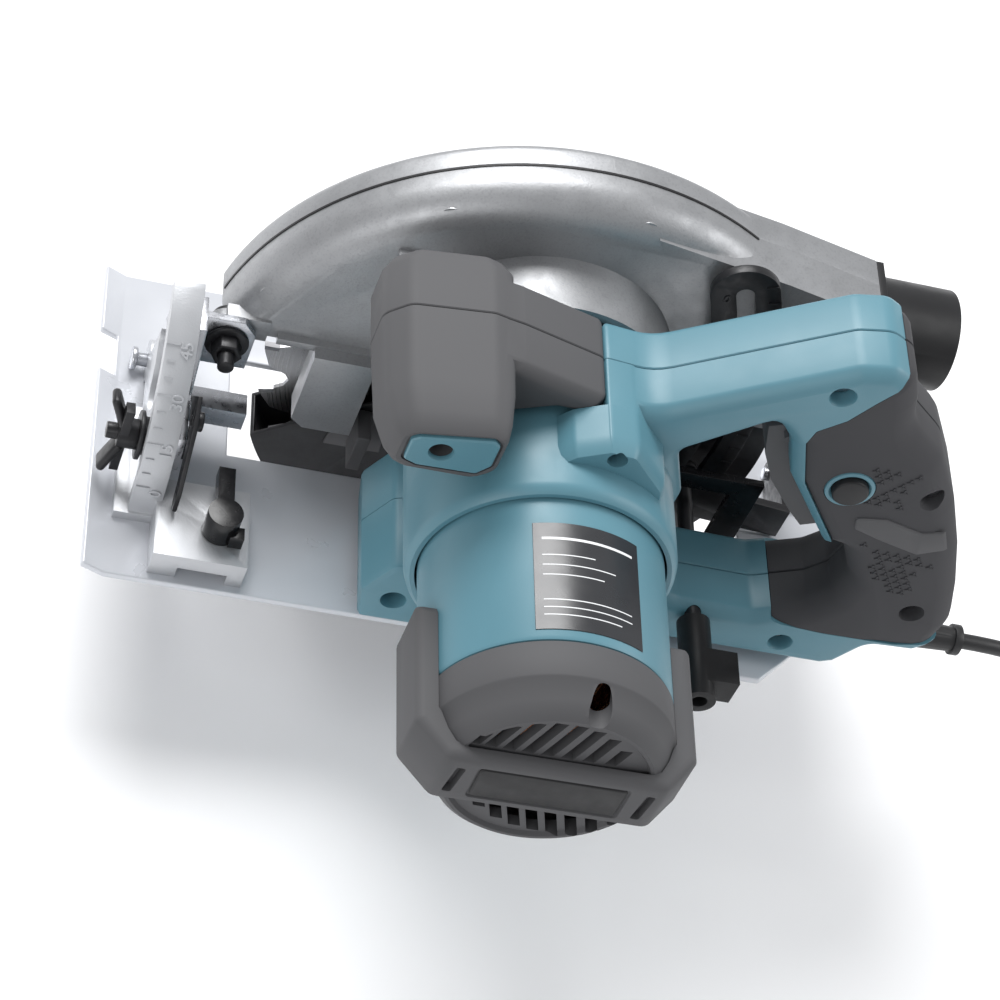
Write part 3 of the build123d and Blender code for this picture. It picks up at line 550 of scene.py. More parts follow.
def combined(target, tools, operation):
    """Works other solids into a piece with exact booleans and removes them."""
    for tool in tools:
        modifier = target.modifiers.new("work", "BOOLEAN")
        modifier.object = tool
        modifier.operation = operation
        modifier.solver = "EXACT"
        settled(target)
        bpy.data.objects.remove(tool)
    return target


def joined(name, pieces):
    """Several meshes as one piece."""
    work = bmesh.new()
    for piece in pieces:
        work.from_mesh(piece.data)
        bpy.data.objects.remove(piece)
    mesh = bpy.data.meshes.new(name)
    work.to_mesh(mesh)
    work.free()
    mesh.shade_smooth()
    mesh.set_sharp_from_angle(angle=radians(38))
    return add_object(name, mesh)


def rounded_edges(obj, width, segments=2, angle=40):
    bevel = obj.modifiers.new("edges", "BEVEL")
    bevel.width = width * MM
    bevel.segments = segments
    bevel.limit_method = "ANGLE"
    bevel.angle_limit = radians(angle)
    return settled(obj)


# ------------------------------------------------------------------ repeating details
def worked(tree, operation, *values):
    """The output of a math node."""
    return add_node(tree, "ShaderNodeMath", dict(enumerate(values)), operation=operation).outputs[0]


def group_input(tree, name, kind, value):
    socket = tree.interface.new_socket(name, in_out="INPUT", socket_type=kind)
    if hasattr(socket, "default_value") and value is not None:
        socket.default_value = value
    return socket


def marks_tree():
    """Geometry nodes: straight marks spaced along an arc in the XY plane, every nth one longer."""
    name = "arc_marks"
    if name in bpy.data.node_groups:
        return bpy.data.node_groups[name]
    tree = bpy.data.node_groups.new(name, "GeometryNodeTree")
    tree.interface.new_socket("Geometry", in_out="OUTPUT", socket_type="NodeSocketGeometry")
    group_input(tree, "Count", "NodeSocketInt", 10)
    group_input(tree, "Start", "NodeSocketFloat", 0.0)
    group_input(tree, "Step", "NodeSocketFloat", 0.1)
    group_input(tree, "Radius", "NodeSocketFloat", 0.06)
    group_input(tree, "Length", "NodeSocketFloat", 0.003)
    group_input(tree, "Width", "NodeSocketFloat", 0.0006)
    group_input(tree, "Height", "NodeSocketFloat", 0.0005)
    group_input(tree, "Long every", "NodeSocketInt", 3)
    group_input(tree, "Long scale", "NodeSocketVector", (1.6, 1.0, 1.0))
    group_input(tree, "Finish", "NodeSocketMaterial", None)
    given = tree.nodes.new("NodeGroupInput").outputs
    out = tree.nodes.new("NodeGroupOutput")
    points = add_node(tree, "GeometryNodePoints", {"Count": given["Count"], "Position": (0, 0, 0)})
    index = tree.nodes.new("GeometryNodeInputIndex").outputs[0]
    angle = worked(tree, "MULTIPLY_ADD", index, given["Step"], given["Start"])
    direction = add_node(tree, "ShaderNodeCombineXYZ", {0: worked(tree, "COSINE", angle),
                                                        1: worked(tree, "SINE", angle)}).outputs[0]
    place = add_node(tree, "ShaderNodeVectorMath", {0: direction, "Scale": given["Radius"]}, operation="SCALE")
    moved = add_node(tree, "GeometryNodeSetPosition",
                     {"Geometry": points.outputs[0], "Position": place.outputs[0]})
    is_long = worked(tree, "LESS_THAN", worked(tree, "MODULO", index, given["Long every"]), 0.5)
    stretch = add_node(tree, "ShaderNodeMix", {"Factor": is_long, 4: (1, 1, 1), 5: given["Long scale"]},
                       data_type="VECTOR")
    size = add_node(tree, "ShaderNodeCombineXYZ", {0: given["Length"], 1: given["Width"], 2: given["Height"]})
    mark = add_node(tree, "GeometryNodeMeshCube", {"Size": size.outputs[0]})
    turn = add_node(tree, "ShaderNodeCombineXYZ", {2: angle})
    put = add_node(tree, "GeometryNodeInstanceOnPoints",
                   {"Points": moved.outputs[0], "Instance": mark.outputs[0], "Scale": stretch.outputs[1]})
    tree.links.new(turn.outputs[0], put.inputs["Rotation"])
    real = add_node(tree, "GeometryNodeRealizeInstances", {"Geometry": put.outputs[0]})
    painted = add_node(tree, "GeometryNodeSetMaterial",
                       {"Geometry": real.outputs[0], "Material": given["Finish"]})
    tree.links.new(painted.outputs[0], out.inputs[0])
    return tree


def stud_tree():
    """Geometry nodes: studs in staggered rows, laid on a surface wherever a flat area lies behind them."""
    name = "stud_field"
    if name in bpy.data.node_groups:
        return bpy.data.node_groups[name]
    tree = bpy.data.node_groups.new(name, "GeometryNodeTree")
    tree.interface.new_socket("Geometry", in_out="OUTPUT", socket_type="NodeSocketGeometry")
    group_input(tree, "Pitch", "NodeSocketFloat", 0.004)
    group_input(tree, "Surface", "NodeSocketObject", None)
    group_input(tree, "Area", "NodeSocketObject", None)
    group_input(tree, "Stud", "NodeSocketObject", None)
    given = tree.nodes.new("NodeGroupInput").outputs
    out = tree.nodes.new("NodeGroupOutput")
    row_count = 40
    row_gap = 0.72
    corner = (0.070, -0.2, 0.055)
    points = add_node(tree, "GeometryNodePoints", {"Count": row_count**2, "Position": (0, 0, 0)})
    index = tree.nodes.new("GeometryNodeInputIndex").outputs[0]
    row = worked(tree, "FLOOR", worked(tree, "DIVIDE", index, float(row_count)))
    column = worked(tree, "MODULO", index, float(row_count))
    along = worked(tree, "MULTIPLY_ADD", worked(tree, "MODULO", row, 2.0), 0.5, column)
    flat = add_node(tree, "ShaderNodeCombineXYZ", {0: along, 2: worked(tree, "MULTIPLY", row, row_gap)})
    spaced = add_node(tree, "ShaderNodeVectorMath", {0: flat.outputs[0], "Scale": given["Pitch"]},
                      operation="SCALE")
    start = add_node(tree, "ShaderNodeVectorMath", {0: spaced.outputs[0], 1: corner}, operation="ADD")
    moved = add_node(tree, "GeometryNodeSetPosition",
                     {"Geometry": points.outputs[0], "Position": start.outputs[0]})
    hits = []
    for which in ("Surface", "Area"):
        target = add_node(tree, "GeometryNodeObjectInfo", {"Object": given[which]})
        ray = add_node(tree, "GeometryNodeRaycast", {"Target Geometry": target.outputs["Geometry"],
                                                     "Ray Direction": (0, 1, 0), "Ray Length": 0.3})
        hits.append(ray)
    on_grip, on_area = hits
    keep = add_node(tree, "FunctionNodeBooleanMath",
                    {0: on_grip.outputs["Is Hit"], 1: on_area.outputs["Is Hit"]}, operation="AND").outputs[0]
    laid = add_node(tree, "GeometryNodeSetPosition", {"Geometry": moved.outputs[0], "Selection": keep,
                                                      "Position": on_grip.outputs["Hit Position"]})
    facing = add_node(tree, "FunctionNodeAlignRotationToVector", {"Vector": on_grip.outputs["Hit Normal"]},
                      axis="Z")
    shape = add_node(tree, "GeometryNodeObjectInfo", {"Object": given["Stud"]})
    put = add_node(tree, "GeometryNodeInstanceOnPoints",
                   {"Points": laid.outputs[0], "Selection": keep, "Instance": shape.outputs["Geometry"],
                    "Rotation": facing.outputs[0]})
    real = add_node(tree, "GeometryNodeRealizeInstances", {"Geometry": put.outputs[0]})
    painted = add_node(tree, "GeometryNodeSetMaterial",
                       {"Geometry": real.outputs[0], "Material": grip_rubber()})
    tree.links.new(painted.outputs[0], out.inputs[0])
    return tree


def grown(name, tree, values, base=None):
    """A plain mesh from a geometry nodes tree with its named inputs set."""
    obj = add_object(name, base or bpy.data.meshes.new(name))
    modifier = obj.modifiers.new("grow", "NODES")
    modifier.node_group = tree
    for item in tree.interface.items_tree:
        if item.in_out == "INPUT" and item.name in values:
            modifier[item.identifier] = values[item.name]
    obj.update_tag()
    bpy.context.view_layer.update()
    return settled(obj, 30)


def turned_into(obj, origin, right, up):
    """Lays a flat piece made in the XY plane onto a plane of the frame, with origin in millimetres."""
    right, up = Vector(right), Vector(up)
    out = right.cross(up)
    place = Matrix((right, up, out)).transposed().to_4x4()
    place.translation = Vector(origin) * MM
    obj.data.transform(place)
    return obj


def raised_text(name, text, size, height, origin, right, up):
    """Plain raised figures, centred on origin."""
    curve = bpy.data.curves.new(name, "FONT")
    curve.body = text
    curve.size = size * MM
    curve.extrude = height * MM
    curve.bevel_depth = 0.08 * MM
    curve.align_x = "CENTER"
    curve.align_y = "CENTER"
    curve.resolution_u = 3
    lettering = add_object(name, curve)
    graph = bpy.context.evaluated_depsgraph_get()
    mesh = bpy.data.meshes.new_from_object(lettering.evaluated_get(graph), depsgraph=graph)
    bpy.data.objects.remove(lettering)
    return turned_into(add_object(name, mesh), origin, right, up)


# ------------------------------------------------------------------ side outlines: x, z, corner radius
PROFILE = [(1, 121, 1), (1, 133, 2), (19, 131, 18), (78, 170, 10), (90, 172.5, 8), (99, 167.5, 6),
           (104, 157, 8), (108, 144, 20), (125, 130, 20), (139, 108, 20), (151, 84, 16), (160, 62, 16),
           (166, 44, 14), (164, 31, 7), (158, 25, 5), (141, 24, 5), (133, 11, 3), (127, 8, 3), (60, 8, 3),
           (-52, 8, 3), (-55, 24, 4), (-42, 36, 6), (-5, 70, 2)]
LOOP = [(34, 112, 6), (61, 137, 5), (69, 128, 4), (76, 110, 4), (101, 78, 4), (110, 76, 4), (119, 60, 6),
        (117, 48, 5), (110, 40, 5), (92, 31.5, 8), (62, 32, 8), (42, 44, 6), (43, 90, 6)]
GRIP_ZONE = [(73, 131, 0.6), (81, 110, 2), (103, 81, 1), (96, 66, 2), (97, 40, 2), (99, 31, 2), (120, 29.5, 4),
             (148, 30, 6), (180, 38, 2), (180, 120, 2), (115, 185, 2), (97, 172, 2), (88, 157, 3), (82, 146, 2),
             (74, 138, 2)]
TRIGGER_GATE = [(60, 128), (76, 134), (92, 104), (110, 84), (104, 70), (60, 100)]
FOOT = [(-52, 8, 2), (-55, 24, 3), (-47, 40, 4), (-30, 44, 4), (-26, 8, 4)]
WEB = [(1.2, 116, 0.5), (1.2, 133, 1), (12, 132, 5), (27, 116, 8), (30, 100, 4), (1.2, 100, 2)]
WEB_FRONT = [(-20, 114, 3), (-9, 127, 5), (2, 133, 3), (12, 132, 5), (27, 116, 8), (30, 100, 4), (-20, 100, 2)]
POMMEL_ARM = [(-40, 144, 2), (-30, 142, 4), (1, 133, 3), (1, 123.2, 2), (-14, 123.6, 3), (-40, 112, 2)]
BUTTON_AT = (97.0, 112.0)


def shell_levels(outer, chamfer):
    """Levels of one moulded half, from the parting line to its outer face."""
    way = 1 if outer > SPLIT else -1
    start = SPLIT + way * SEAM
    return [(start, 0.4), (start + way * 0.4, 0.0), (outer - way * chamfer * 0.92, 0.0),
            (outer - way * chamfer * 0.62, chamfer * 0.12), (outer - way * chamfer * 0.12, chamfer * 0.68),
            (outer, chamfer)]


# ------------------------------------------------------------------ operators
class SawStage(bpy.types.Operator):
    """Floor, soft lights and the camera"""

    bl_idname = "saw.stage"
    bl_label = "Stage"

    azimuth = -21.479
    elevation = 48.283
    roll = 26.376
    distance = 1124.4
    field = 2977.0
    aim = Vector((0.0, 0.0, 30.0))
    offset = (2.834, 39.469)

    def execute(self, context):
        scene = context.scene
        floor = bpy.data.meshes.new("floor")
        z = CAD_BOX[0][2] - 0.0002
        floor.from_pydata([(-4, -4, z), (4, -4, z), (4, 4, z), (-4, 4, z)], [], [(0, 1, 2, 3)])
        ground = add_object("floor", floor)
        paper = finish("paper_floor", (0.93, 0.93, 0.935), 0.75, mottle=0.004, mottle_scale=3, grain_scale=400,
                       grain_depth=0.01)
        ground.data.materials.append(paper)
        world = scene.world or bpy.data.worlds.new("studio")
        scene.world = world
        scene.view_settings.view_transform = "Standard"
        world.use_nodes = True
        sky = world.node_tree.nodes["Background"]
        sky.inputs["Color"].default_value = (0.97, 0.98, 1.0, 1)
        sky.inputs["Strength"].default_value = 0.58
        self.lamp("key_light", (-0.35, 0.75, 1.25), 1.0, 25.0)
        self.lamp("front_light", (-0.85, -1.15, 0.65), 0.8, 5.0)
        self.lamp("rear_light", (1.1, -0.1, 0.9), 0.8, 6.0)
        self.camera(scene)
        return {"FINISHED"}

    def lamp(self, name, place, size, power):
        data = bpy.data.lights.new(name, "AREA")
        data.shape = "DISK"
        data.size = size
        data.energy = power
        lamp = bpy.data.objects.new(name, data)
        bpy.context.scene.collection.objects.link(lamp)
        lamp.location = place
        lamp.rotation_euler = (Vector((0, -0.05, 0.05)) - Vector(place)).to_track_quat("-Z", "Y").to_euler()

    def camera(self, scene):
        turn, lift, roll = radians(self.azimuth), radians(self.elevation), radians(self.roll)
        back = Vector((sin(turn) * cos(lift), -cos(turn) * cos(lift), sin(lift)))
        right = (-back).cross(Vector((0, 0, 1))).normalized()
        up = right.cross(-back)
        right, up = right * cos(roll) + up * sin(roll), up * cos(roll) - right * sin(roll)
        place = self.aim + back * self.distance - right * self.offset[0] - up * self.offset[1]
        data = bpy.data.cameras.new("camera")
        data.sensor_width = 36
        data.lens = self.field * 36 / 1000
        data.clip_end = 20
        camera = bpy.data.objects.new("camera", data)
        scene.collection.objects.link(camera)
        pose = Matrix((right, up, back)).transposed().to_4x4()
        pose.translation = place * MM
        camera.matrix_world = pose
        scene.camera = camera


class SawCord(bpy.types.Operator):
    """Mains cord, its coil, tie and plug"""

    bl_idname = "saw.cord"
    bl_label = "Cord"

    route = [(184, SPLIT, 14), (208, SPLIT, 14), (232, -63, 0), (250, -57, -23), (268, -49, -46),
             (291, -41, -59)]
    coil = Vector((318.0, 2.0, -54.0))
    coil_r = 36.0
    pack_r = 7.15
    steps = 16

    def execute(self, context):
        points = list(self.route)
        total = int(sizes().cord_turns * self.steps)
        for k in range(total + 1):
            turn = -pi / 2 + 2 * pi * k / self.steps
            phase = radians(-60) - 2 * pi * k / self.steps / 7
            reach = (self.coil_r + self.pack_r * cos(phase)) / cos(pi / self.steps) ** 0.5
            points.append((self.coil.x + reach * cos(turn), self.coil.y + reach * sin(turn),
                           self.coil.z + self.pack_r * sin(phase)))
        points += [(360.9, 12, -57.2), (360.6, 22, -57), (360.6, 33, -56.8)]
        curve = bpy.data.curves.new("mains_cord", "CURVE")
        curve.dimensions = "3D"
        curve.bevel_depth = sizes().cord_diameter / 2
        curve.bevel_resolution = 4
        curve.use_fill_caps = True
        spline = curve.splines.new("NURBS")
        spline.points.add(len(points) - 1)
        for point, place in zip(spline.points, points):
            point.co = (*[c * MM for c in place], 1)
        spline.order_u = 3
        spline.use_endpoint_u = True
        spline.resolution_u = 6
        lead = add_object("mains_cord", curve)
        fitted(lead, "saw_body", cord_jacket(), ["power_cord", "cord_coil"])
        plug = softened("plug", 1.6, 3, dark_moulding())
        tie = softened("coil_tie", 0.4, 2, gloss_black())
        softened("strain_relief", 0.4, 2, cord_jacket())
        sleeve = lathe("relief_sleeve", [(6.9, 0), (6.9, 14), (6.1, 24)], (0, 0, 0), 48)
        inside_end = Vector((127, SPLIT, 14)) * MM
        sleeve.data.transform(Matrix.Translation(inside_end) @ Matrix.Rotation(-pi / 2, 4, "Z"))
        fitted(sleeve, "saw_body", cord_jacket())
        return {"FINISHED"}


class SawHousing(bpy.types.Operator):
    """Rear handle halves with the motor collar, their grips and screws"""

    bl_idname = "saw.housing"
    bl_label = "Handle and housing"

    screws = [(76, 157), (6.5, 127.5), (107, 20)]
    grip_screws = [(128, 113), (147, 50)]
    patches = [
        [(100, 126), (112, 129), (125, 121), (137, 106), (122, 104), (106, 104), (107, 118)],
        [(109, 87), (120, 84), (142, 80), (145, 72), (138, 60), (126, 62), (116, 74)],
    ]
    band = [(105, 98, 2), (116, 100, 2), (131, 96, 2), (143, 100, 3), (146, 91, 3), (134, 84, 2), (119, 88, 2),
            (107, 92, 2)]

    def execute(self, context):
        for name, outer, lip, foot_to in (("near", NEAR, -119, -98), ("far", FAR, -40, -43)):
            self.half(name, outer, lip, foot_to)
            self.grip(name, outer)
        softened("handle_screws", 0.2, 1)
        return {"FINISHED"}

    def half(self, name, outer, lip, foot_to):
        way = 1 if outer > SPLIT else -1
        start = SPLIT + way * SEAM
        shell = slab(f"housing_{name}", [PROFILE, LOOP], shell_levels(outer, 5.5))
        zone = slab("zone", [GRIP_ZONE], [(-130, 0), (-20, 0)], samples=2)
        combined(shell, [zone], "DIFFERENCE")
        ring = lathe("ring", [(47, start), (47, lip - way * 4), (46.4, lip - way * 1.6), (44.8, lip)], MOTOR)
        foot = slab("foot", [FOOT], [(start, 0), (foot_to - way * 2.4, 0), (foot_to - way * 0.7, 0.7),
                                     (foot_to, 2.4)], samples=3)
        additions = [ring, foot]
        if way < 0:
            additions.append(slab("web", [WEB], [(start, 0), (-100, 0), (-104, 0.6), (-106.6, 2)]))
            additions.append(slab("web_front", [WEB_FRONT], [(-87.2, 0), (-100, 0), (-104, 0.6), (-106.6, 2)]))
        combined(shell, additions, "UNION")
        cuts = [lathe("bore", [(43.2, start - way), (43.2, lip + way)], MOTOR),
                cutter_y(70, 27, 3.3, -130, -20),
                slab("gate", [TRIGGER_GATE], [(SPLIT - 7.6, 0), (SPLIT + 7.6, 0)], radius=1, samples=2)]
        if way < 0:
            for x, z in self.screws:
                if x < 10:
                    cuts.append(cutter_y(x - 1, z, 3.5, -108, -77))
                else:
                    well = [(4.3, -77), (4.3, NEAR + 0.7), (5.2, NEAR - 0.5), (5.2, NEAR - 2)]
                    cuts.append(lathe("recess", well, (x, 0, z), 40))
            cuts.append(lathe("recess", [(4.4, -86), (4.4, foot_to + 1), (5.2, foot_to - 1)], (-42, 0, 21), 40))
        combined(shell, cuts, "DIFFERENCE")
        fitted(shell, "saw_body", housing_plastic(), [f"handle_shell_{name}"])

    def grip(self, name, outer):
        way = 1 if outer > SPLIT else -1
        start = SPLIT + way * SEAM
        levels = [(start, 0.3), (start + way * 0.4, -0.3), (outer - way * 9, -0.3), (outer - way * 6, 0.7),
                  (outer - way * 3, 2.8), (outer - way * 1, 5.4), (outer, 8.4)]
        grip = slab(f"grip_{name}_finished", [PROFILE, LOOP], levels)
        zone = slab("zone", [[(p[0], p[1], p[2]) for p in GRIP_ZONE]], [(-130, 0.25), (-20, 0.25)], samples=2)
        combined(grip, [zone], "INTERSECT")
        cuts = [slab("gate", [TRIGGER_GATE], [(SPLIT - 7.6, 0), (SPLIT + 7.6, 0)], radius=1, samples=2)]
        if way < 0:
            cuts.append(cutter_y(*BUTTON_AT, 9.2, -95, -83.5))
            cuts.append(cutter_y(*BUTTON_AT, 6.7, -95, -72))
            for x, z in self.grip_screws:
                cuts.append(lathe("recess", [(4.4, -76), (4.4, NEAR + 2), (5.2, NEAR - 2)], (x, 0, z), 40))
        combined(grip, cuts, "DIFFERENCE")
        fitted(grip, "saw_body", grip_rubber(), [f"grip_{name}"])
        if way < 0:
            self.studs(grip)
            strip = slab("grip_band", [self.band], [(-86.9, 0), (-87.5, 0.1), (-87.9, 0.8)])
            body = slab("grip_body", [PROFILE, LOOP], [(-80, -0.6), (-84, 0.6), (-86, 2.6), (-87.9, 5.6)])
            combined(strip, [body], "INTERSECT")
            fitted(strip, "saw_body", charcoal_plastic())
            bezel = tube("button_bezel", 9.0, 6.7, -87.6, -83.4, (BUTTON_AT[0], 0, BUTTON_AT[1]), 0.8, 64)
            fitted(bezel, "saw_body", housing_plastic())


    def studs(self, grip):
        """Raised three-armed studs over two patches of the grip."""
        work = bmesh.new()
        for k in range(3):
            arm = bmesh.ops.create_cube(work, size=1)["verts"]
            for v in arm:
                v.co = Vector(((v.co.x + 0.5) * 1.45, v.co.y * 0.62, v.co.z * 0.9))
            turn = Matrix.Rotation(2 * pi * k / 3 + pi / 2, 3, "Z")
            bmesh.ops.rotate(work, verts=arm, cent=(0, 0, 0), matrix=turn)
        stud = from_work("stud", work)
        work = bmesh.new()
        for patch in self.patches:
            work.faces.new([work.verts.new((x, NEAR, z)) for x, z in patch])
        bmesh.ops.triangulate(work, faces=work.faces)
        area = from_work("stud_area", work)
        field = grown("grip_studs", stud_tree(), {"Pitch": sizes().stud_pitch, "Surface": grip, "Area": area,
                                                 "Stud": stud})
        for helper in (stud, area):
            bpy.data.objects.remove(helper)
        fitted(field, "saw_body", grip_rubber())


class SawPommel(bpy.types.Operator):
    """Front handle with its arm and end inset"""

    bl_idname = "saw.pommel"
    bl_label = "Front handle"

    middle = [(-77, 115), (-77, 134), (-69, 141.5), (-41, 144.5), (-33, 142.5), (-33, 114.5), (-46, 108),
              (-66, 108)]
    far_rows = [
        (-38, [(-68, 117), (-68, 130), (-62, 135), (-46, 137), (-40, 135), (-40, 118), (-47, 114),
               (-62, 114)]),
        (-40.5, [(-74, 116), (-74, 133), (-66, 140), (-43, 142.5), (-35, 140), (-35, 116), (-46, 110),
                 (-65, 110)]),
        (-46, middle),
    ]
    near_rows = [
        (-98, [(-76, 115.5), (-76, 134), (-69, 141.3), (-41, 144.6), (-33.4, 142), (-33.4, 115), (-45, 109),
               (-66, 109)]),
        (-110, [(-73.4, 117), (-73.4, 133), (-67.5, 139.4), (-41.5, 143.4), (-34.4, 141), (-34.4, 118),
                (-43, 112.6), (-65, 112.6)]),
        (-115.4, [(-71, 119), (-71, 132.8), (-67, 137.2), (-41, 141.6), (-35.4, 139.6), (-35.4, 121.6),
                  (-42, 116.4), (-65, 116.4)]),
        (-117, [(-69.4, 120.5), (-69.4, 132.4), (-66.2, 135.8), (-41, 140), (-36.6, 138.4), (-36.6, 123.4),
                (-42, 118.4), (-64, 118.4)]),
    ]
    pad = [(-67, 122.4, 2), (-67, 132.6, 2), (-64.6, 134.4, 2), (-40.4, 138.6, 2), (-38, 136.6, 2),
           (-38, 126, 2), (-42, 121, 2), (-62, 120.4, 2)]

    def execute(self, context):
        for name, keep in (("near", -1), ("far", 1)):
            start = SPLIT + keep * SEAM
            if keep < 0:
                rows = [(start, self.middle, 0.35), (start - 0.4, self.middle, 0)]
                rows += [(y, corners, 0) for y, corners in self.near_rows]
            else:
                rows = [(y, corners, 0) for y, corners in self.far_rows]
                rows += [(start + 0.4, self.middle, 0), (start, self.middle, 0.35)]
            knob = self.knob(f"pommel_{name}_finished", rows)
            arm = slab("arm", [POMMEL_ARM], shell_levels(NEAR if keep < 0 else FAR, 4.5), samples=3)
            combined(knob, [arm], "UNION")
            cuts = [lathe("collar", [(47.3, -130), (47.3, -20)], MOTOR)]
            if keep < 0:
                cuts.append(slab("recess", [self.pad], [(-118, -0.9), (-116.2, -0.9)]))
                cuts.append(cutter_y(-56, 129, 4.2, -118, -104))
            else:
                cuts.append(lathe("case", [(50.4, -40.4), (50.4, -10)], MOTOR))
            combined(knob, cuts, "DIFFERENCE")
            fitted(knob, "saw_body", charcoal_plastic(), [f"pommel_{name}"])
        pad = slab("pommel_inset_finished", [self.pad], [(-117.9, 0.7), (-117.4, 0.1), (-116.2, 0)])
        combined(pad, [lathe("hole", [(3.9, -115), (3.9, -117), (4.8, -119)], (-56, 0, 129), 40)], "DIFFERENCE")
        fitted(pad, "saw_body", housing_plastic(), ["pommel_inset"])
        return {"FINISHED"}

    def knob(self, name, rows):
        work = bmesh.new()
        rings = [ring_of(work, rounded(corners, inset, 7.0, 5), side_place(y)) for y, corners, inset in rows]
        for lower, upper in zip(rings, rings[1:]):
            bridge(work, lower, upper)
        work.faces.new(rings[0])
        work.faces.new(rings[-1])
        return from_work(name, work, 30)


class SawMotor(bpy.types.Operator):
    """Motor can, vented end cap, bumper and rating plate"""

    bl_idname = "saw.motor"
    bl_label = "Motor"

    def execute(self, context):
        wall = [(42.3, -70), (42.3, -174.2), (41.8, -175.4), (40.6, -175.9), (39.5, -175.9), (39.5, -70)]
        can = lathe("motor_can_finished", wall, MOTOR, 128, closed=True)
        fitted(can, "saw_body", housing_plastic(), ["motor_can"])
        self.end_cap()
        self.bumper()
        self.rating_plate()
        return {"FINISHED"}

    def end_cap(self):
        profile = [(38.4, -176.2), (42.0, -176.2), (42.3, -176.8), (42.3, -189.0), (42.0, -189.7),
                   (41.2, -190.5), (39.2, -196.4), (36.8, -200.6), (34.8, -202.2), (33.6, -202.2),
                   (32.6, -200.8), (20, -201.4), (0, -201.6)]
        inner = [(0, -197.2), (31, -197.0), (37.2, -194), (38.4, -190)]
        cap = lathe("motor_end_cap_finished", profile + inner, MOTOR, 128, closed=True)
        slots = []
        for half in (1, -1):
            for column in range(-4, 5):
                x = column * 6.6 - 1.5 * half
                reach = sqrt(max(30.5**2 - (x + 4 * half) ** 2, 1))
                if reach < 16:
                    continue
                slots.append(self.vent(x, half * 13.2, half * (reach + 0.8), half))
        combined(cap, [joined("vents", slots)], "DIFFERENCE")
        screw = lathe("screw_well", [(3.9, -183), (3.9, -206)], MOTOR + Vector((5.5, 0, 37.4)), 40)
        combined(cap, [screw], "DIFFERENCE")
        fitted(cap, "saw_body", charcoal_plastic(), ["motor_end_cap"])

    def vent(self, x, z0, z1, half):
        """A slanted slot cutter from z0 to z1 on the end face."""
        lean = 5.0 * half
        low, high = sorted((z0, z1))
        work = bmesh.new()
        for y in (-206, -193.5):
            for dx, z in ((-2.1, low), (2.1, low), (2.1, high), (-2.1, high)):
                shift = lean * (z - 0.5 * (low + high)) / 14
                work.verts.new((MOTOR.x + x + dx + shift, y, MOTOR.z + z))
        v = list(work.verts)
        for face in ((0, 1, 2, 3), (7, 6, 5, 4), (0, 4, 5, 1), (1, 5, 6, 2), (2, 6, 7, 3), (3, 7, 4, 0)):
            work.faces.new([v[i] for i in face])
        return from_work("vent", work)

    def bumper(self):
        """A U-shaped band over the end of the motor with a blank plaque."""
        outer = [(-53, -148.5, 3), (-53, -194, 4), (-42, -207, 5), (32, -207, 5), (43, -194, 4),
                 (43, -148.5, 3)]
        work = bmesh.new()
        rings = []
        for z, inset in ((-13, 3.0), (-12.2, 1.1), (-10.6, 0), (10.6, 0), (12.2, 1.1), (13, 3.0)):
            ring = [work.verts.new((p.x, p.y, MOTOR.z + z)) for p in rounded(outer, inset, 4, 4)]
            rings.append(ring)
        for lower, upper in zip(rings, rings[1:]):
            bridge(work, lower, upper)
        work.faces.new(rings[0])
        work.faces.new(rings[-1])
        band = from_work("end_cap_bumper_finished", work)
        core = lathe("core", [(42.5, -140), (42.5, -189.0), (41.5, -190.5), (39.5, -196.4), (37.0, -200.8),
                              (33, -202.4), (0, -202.4)], MOTOR, 128)
        window = slab("window", [[(-31, MOTOR.z - 8.6, 2), (21, MOTOR.z - 8.6, 2), (21, MOTOR.z + 8.6, 2),
                                  (-31, MOTOR.z + 8.6, 2)]], [(-208, -0.4), (-206.2, 0.4)])
        slots = [slab("slot", [[(x - 1.6, MOTOR.z - 7, 1), (x + 1.6, MOTOR.z - 7, 1), (x + 3.0, MOTOR.z + 7, 1),
                                (x - 0.2, MOTOR.z + 7, 1)]], [(-210, 0), (-203.5, 0)]) for x in (-37.6, 26.6)]
        combined(band, [core, window] + slots, "DIFFERENCE")
        fitted(band, "saw_body", charcoal_plastic(), ["end_cap_bumper"])
        face = [(-30, MOTOR.z - 7.8, 2), (20, MOTOR.z - 7.8, 2), (20, MOTOR.z + 7.8, 2), (-30, MOTOR.z + 7.8, 2)]
        plaque = slab("bumper_plaque", [face], [(-206.9, 0.5), (-206.5, 0), (-205.6, 0)])
        fitted(plaque, "saw_body", dark_moulding())

    def rating_plate(self):
        """A blank curved label with printed rule lines."""
        plate = arc_strip("rating_plate_finished", MOTOR, 42.2, 42.62, -172.0, -129.0, 60, 112)
        rounded_edges(plate, 0.12, 1, 60)
        fitted(plate, "saw_body", label_film(), ["rating_plate"])
        lines = [(-136, -135, 64, 108), (-142.4, -142, 84, 108), (-146.4, -146, 74, 108),
                 (-150.4, -150, 80, 108), (-160.4, -160, 66, 108), (-163.4, -163, 66, 108),
                 (-166.4, -166, 72, 108)]
        rules = [arc_strip("rule", MOTOR, 42.5, 42.68, *line) for line in lines]
        fitted(joined("rating_plate_rules", rules), "saw_body", print_white())


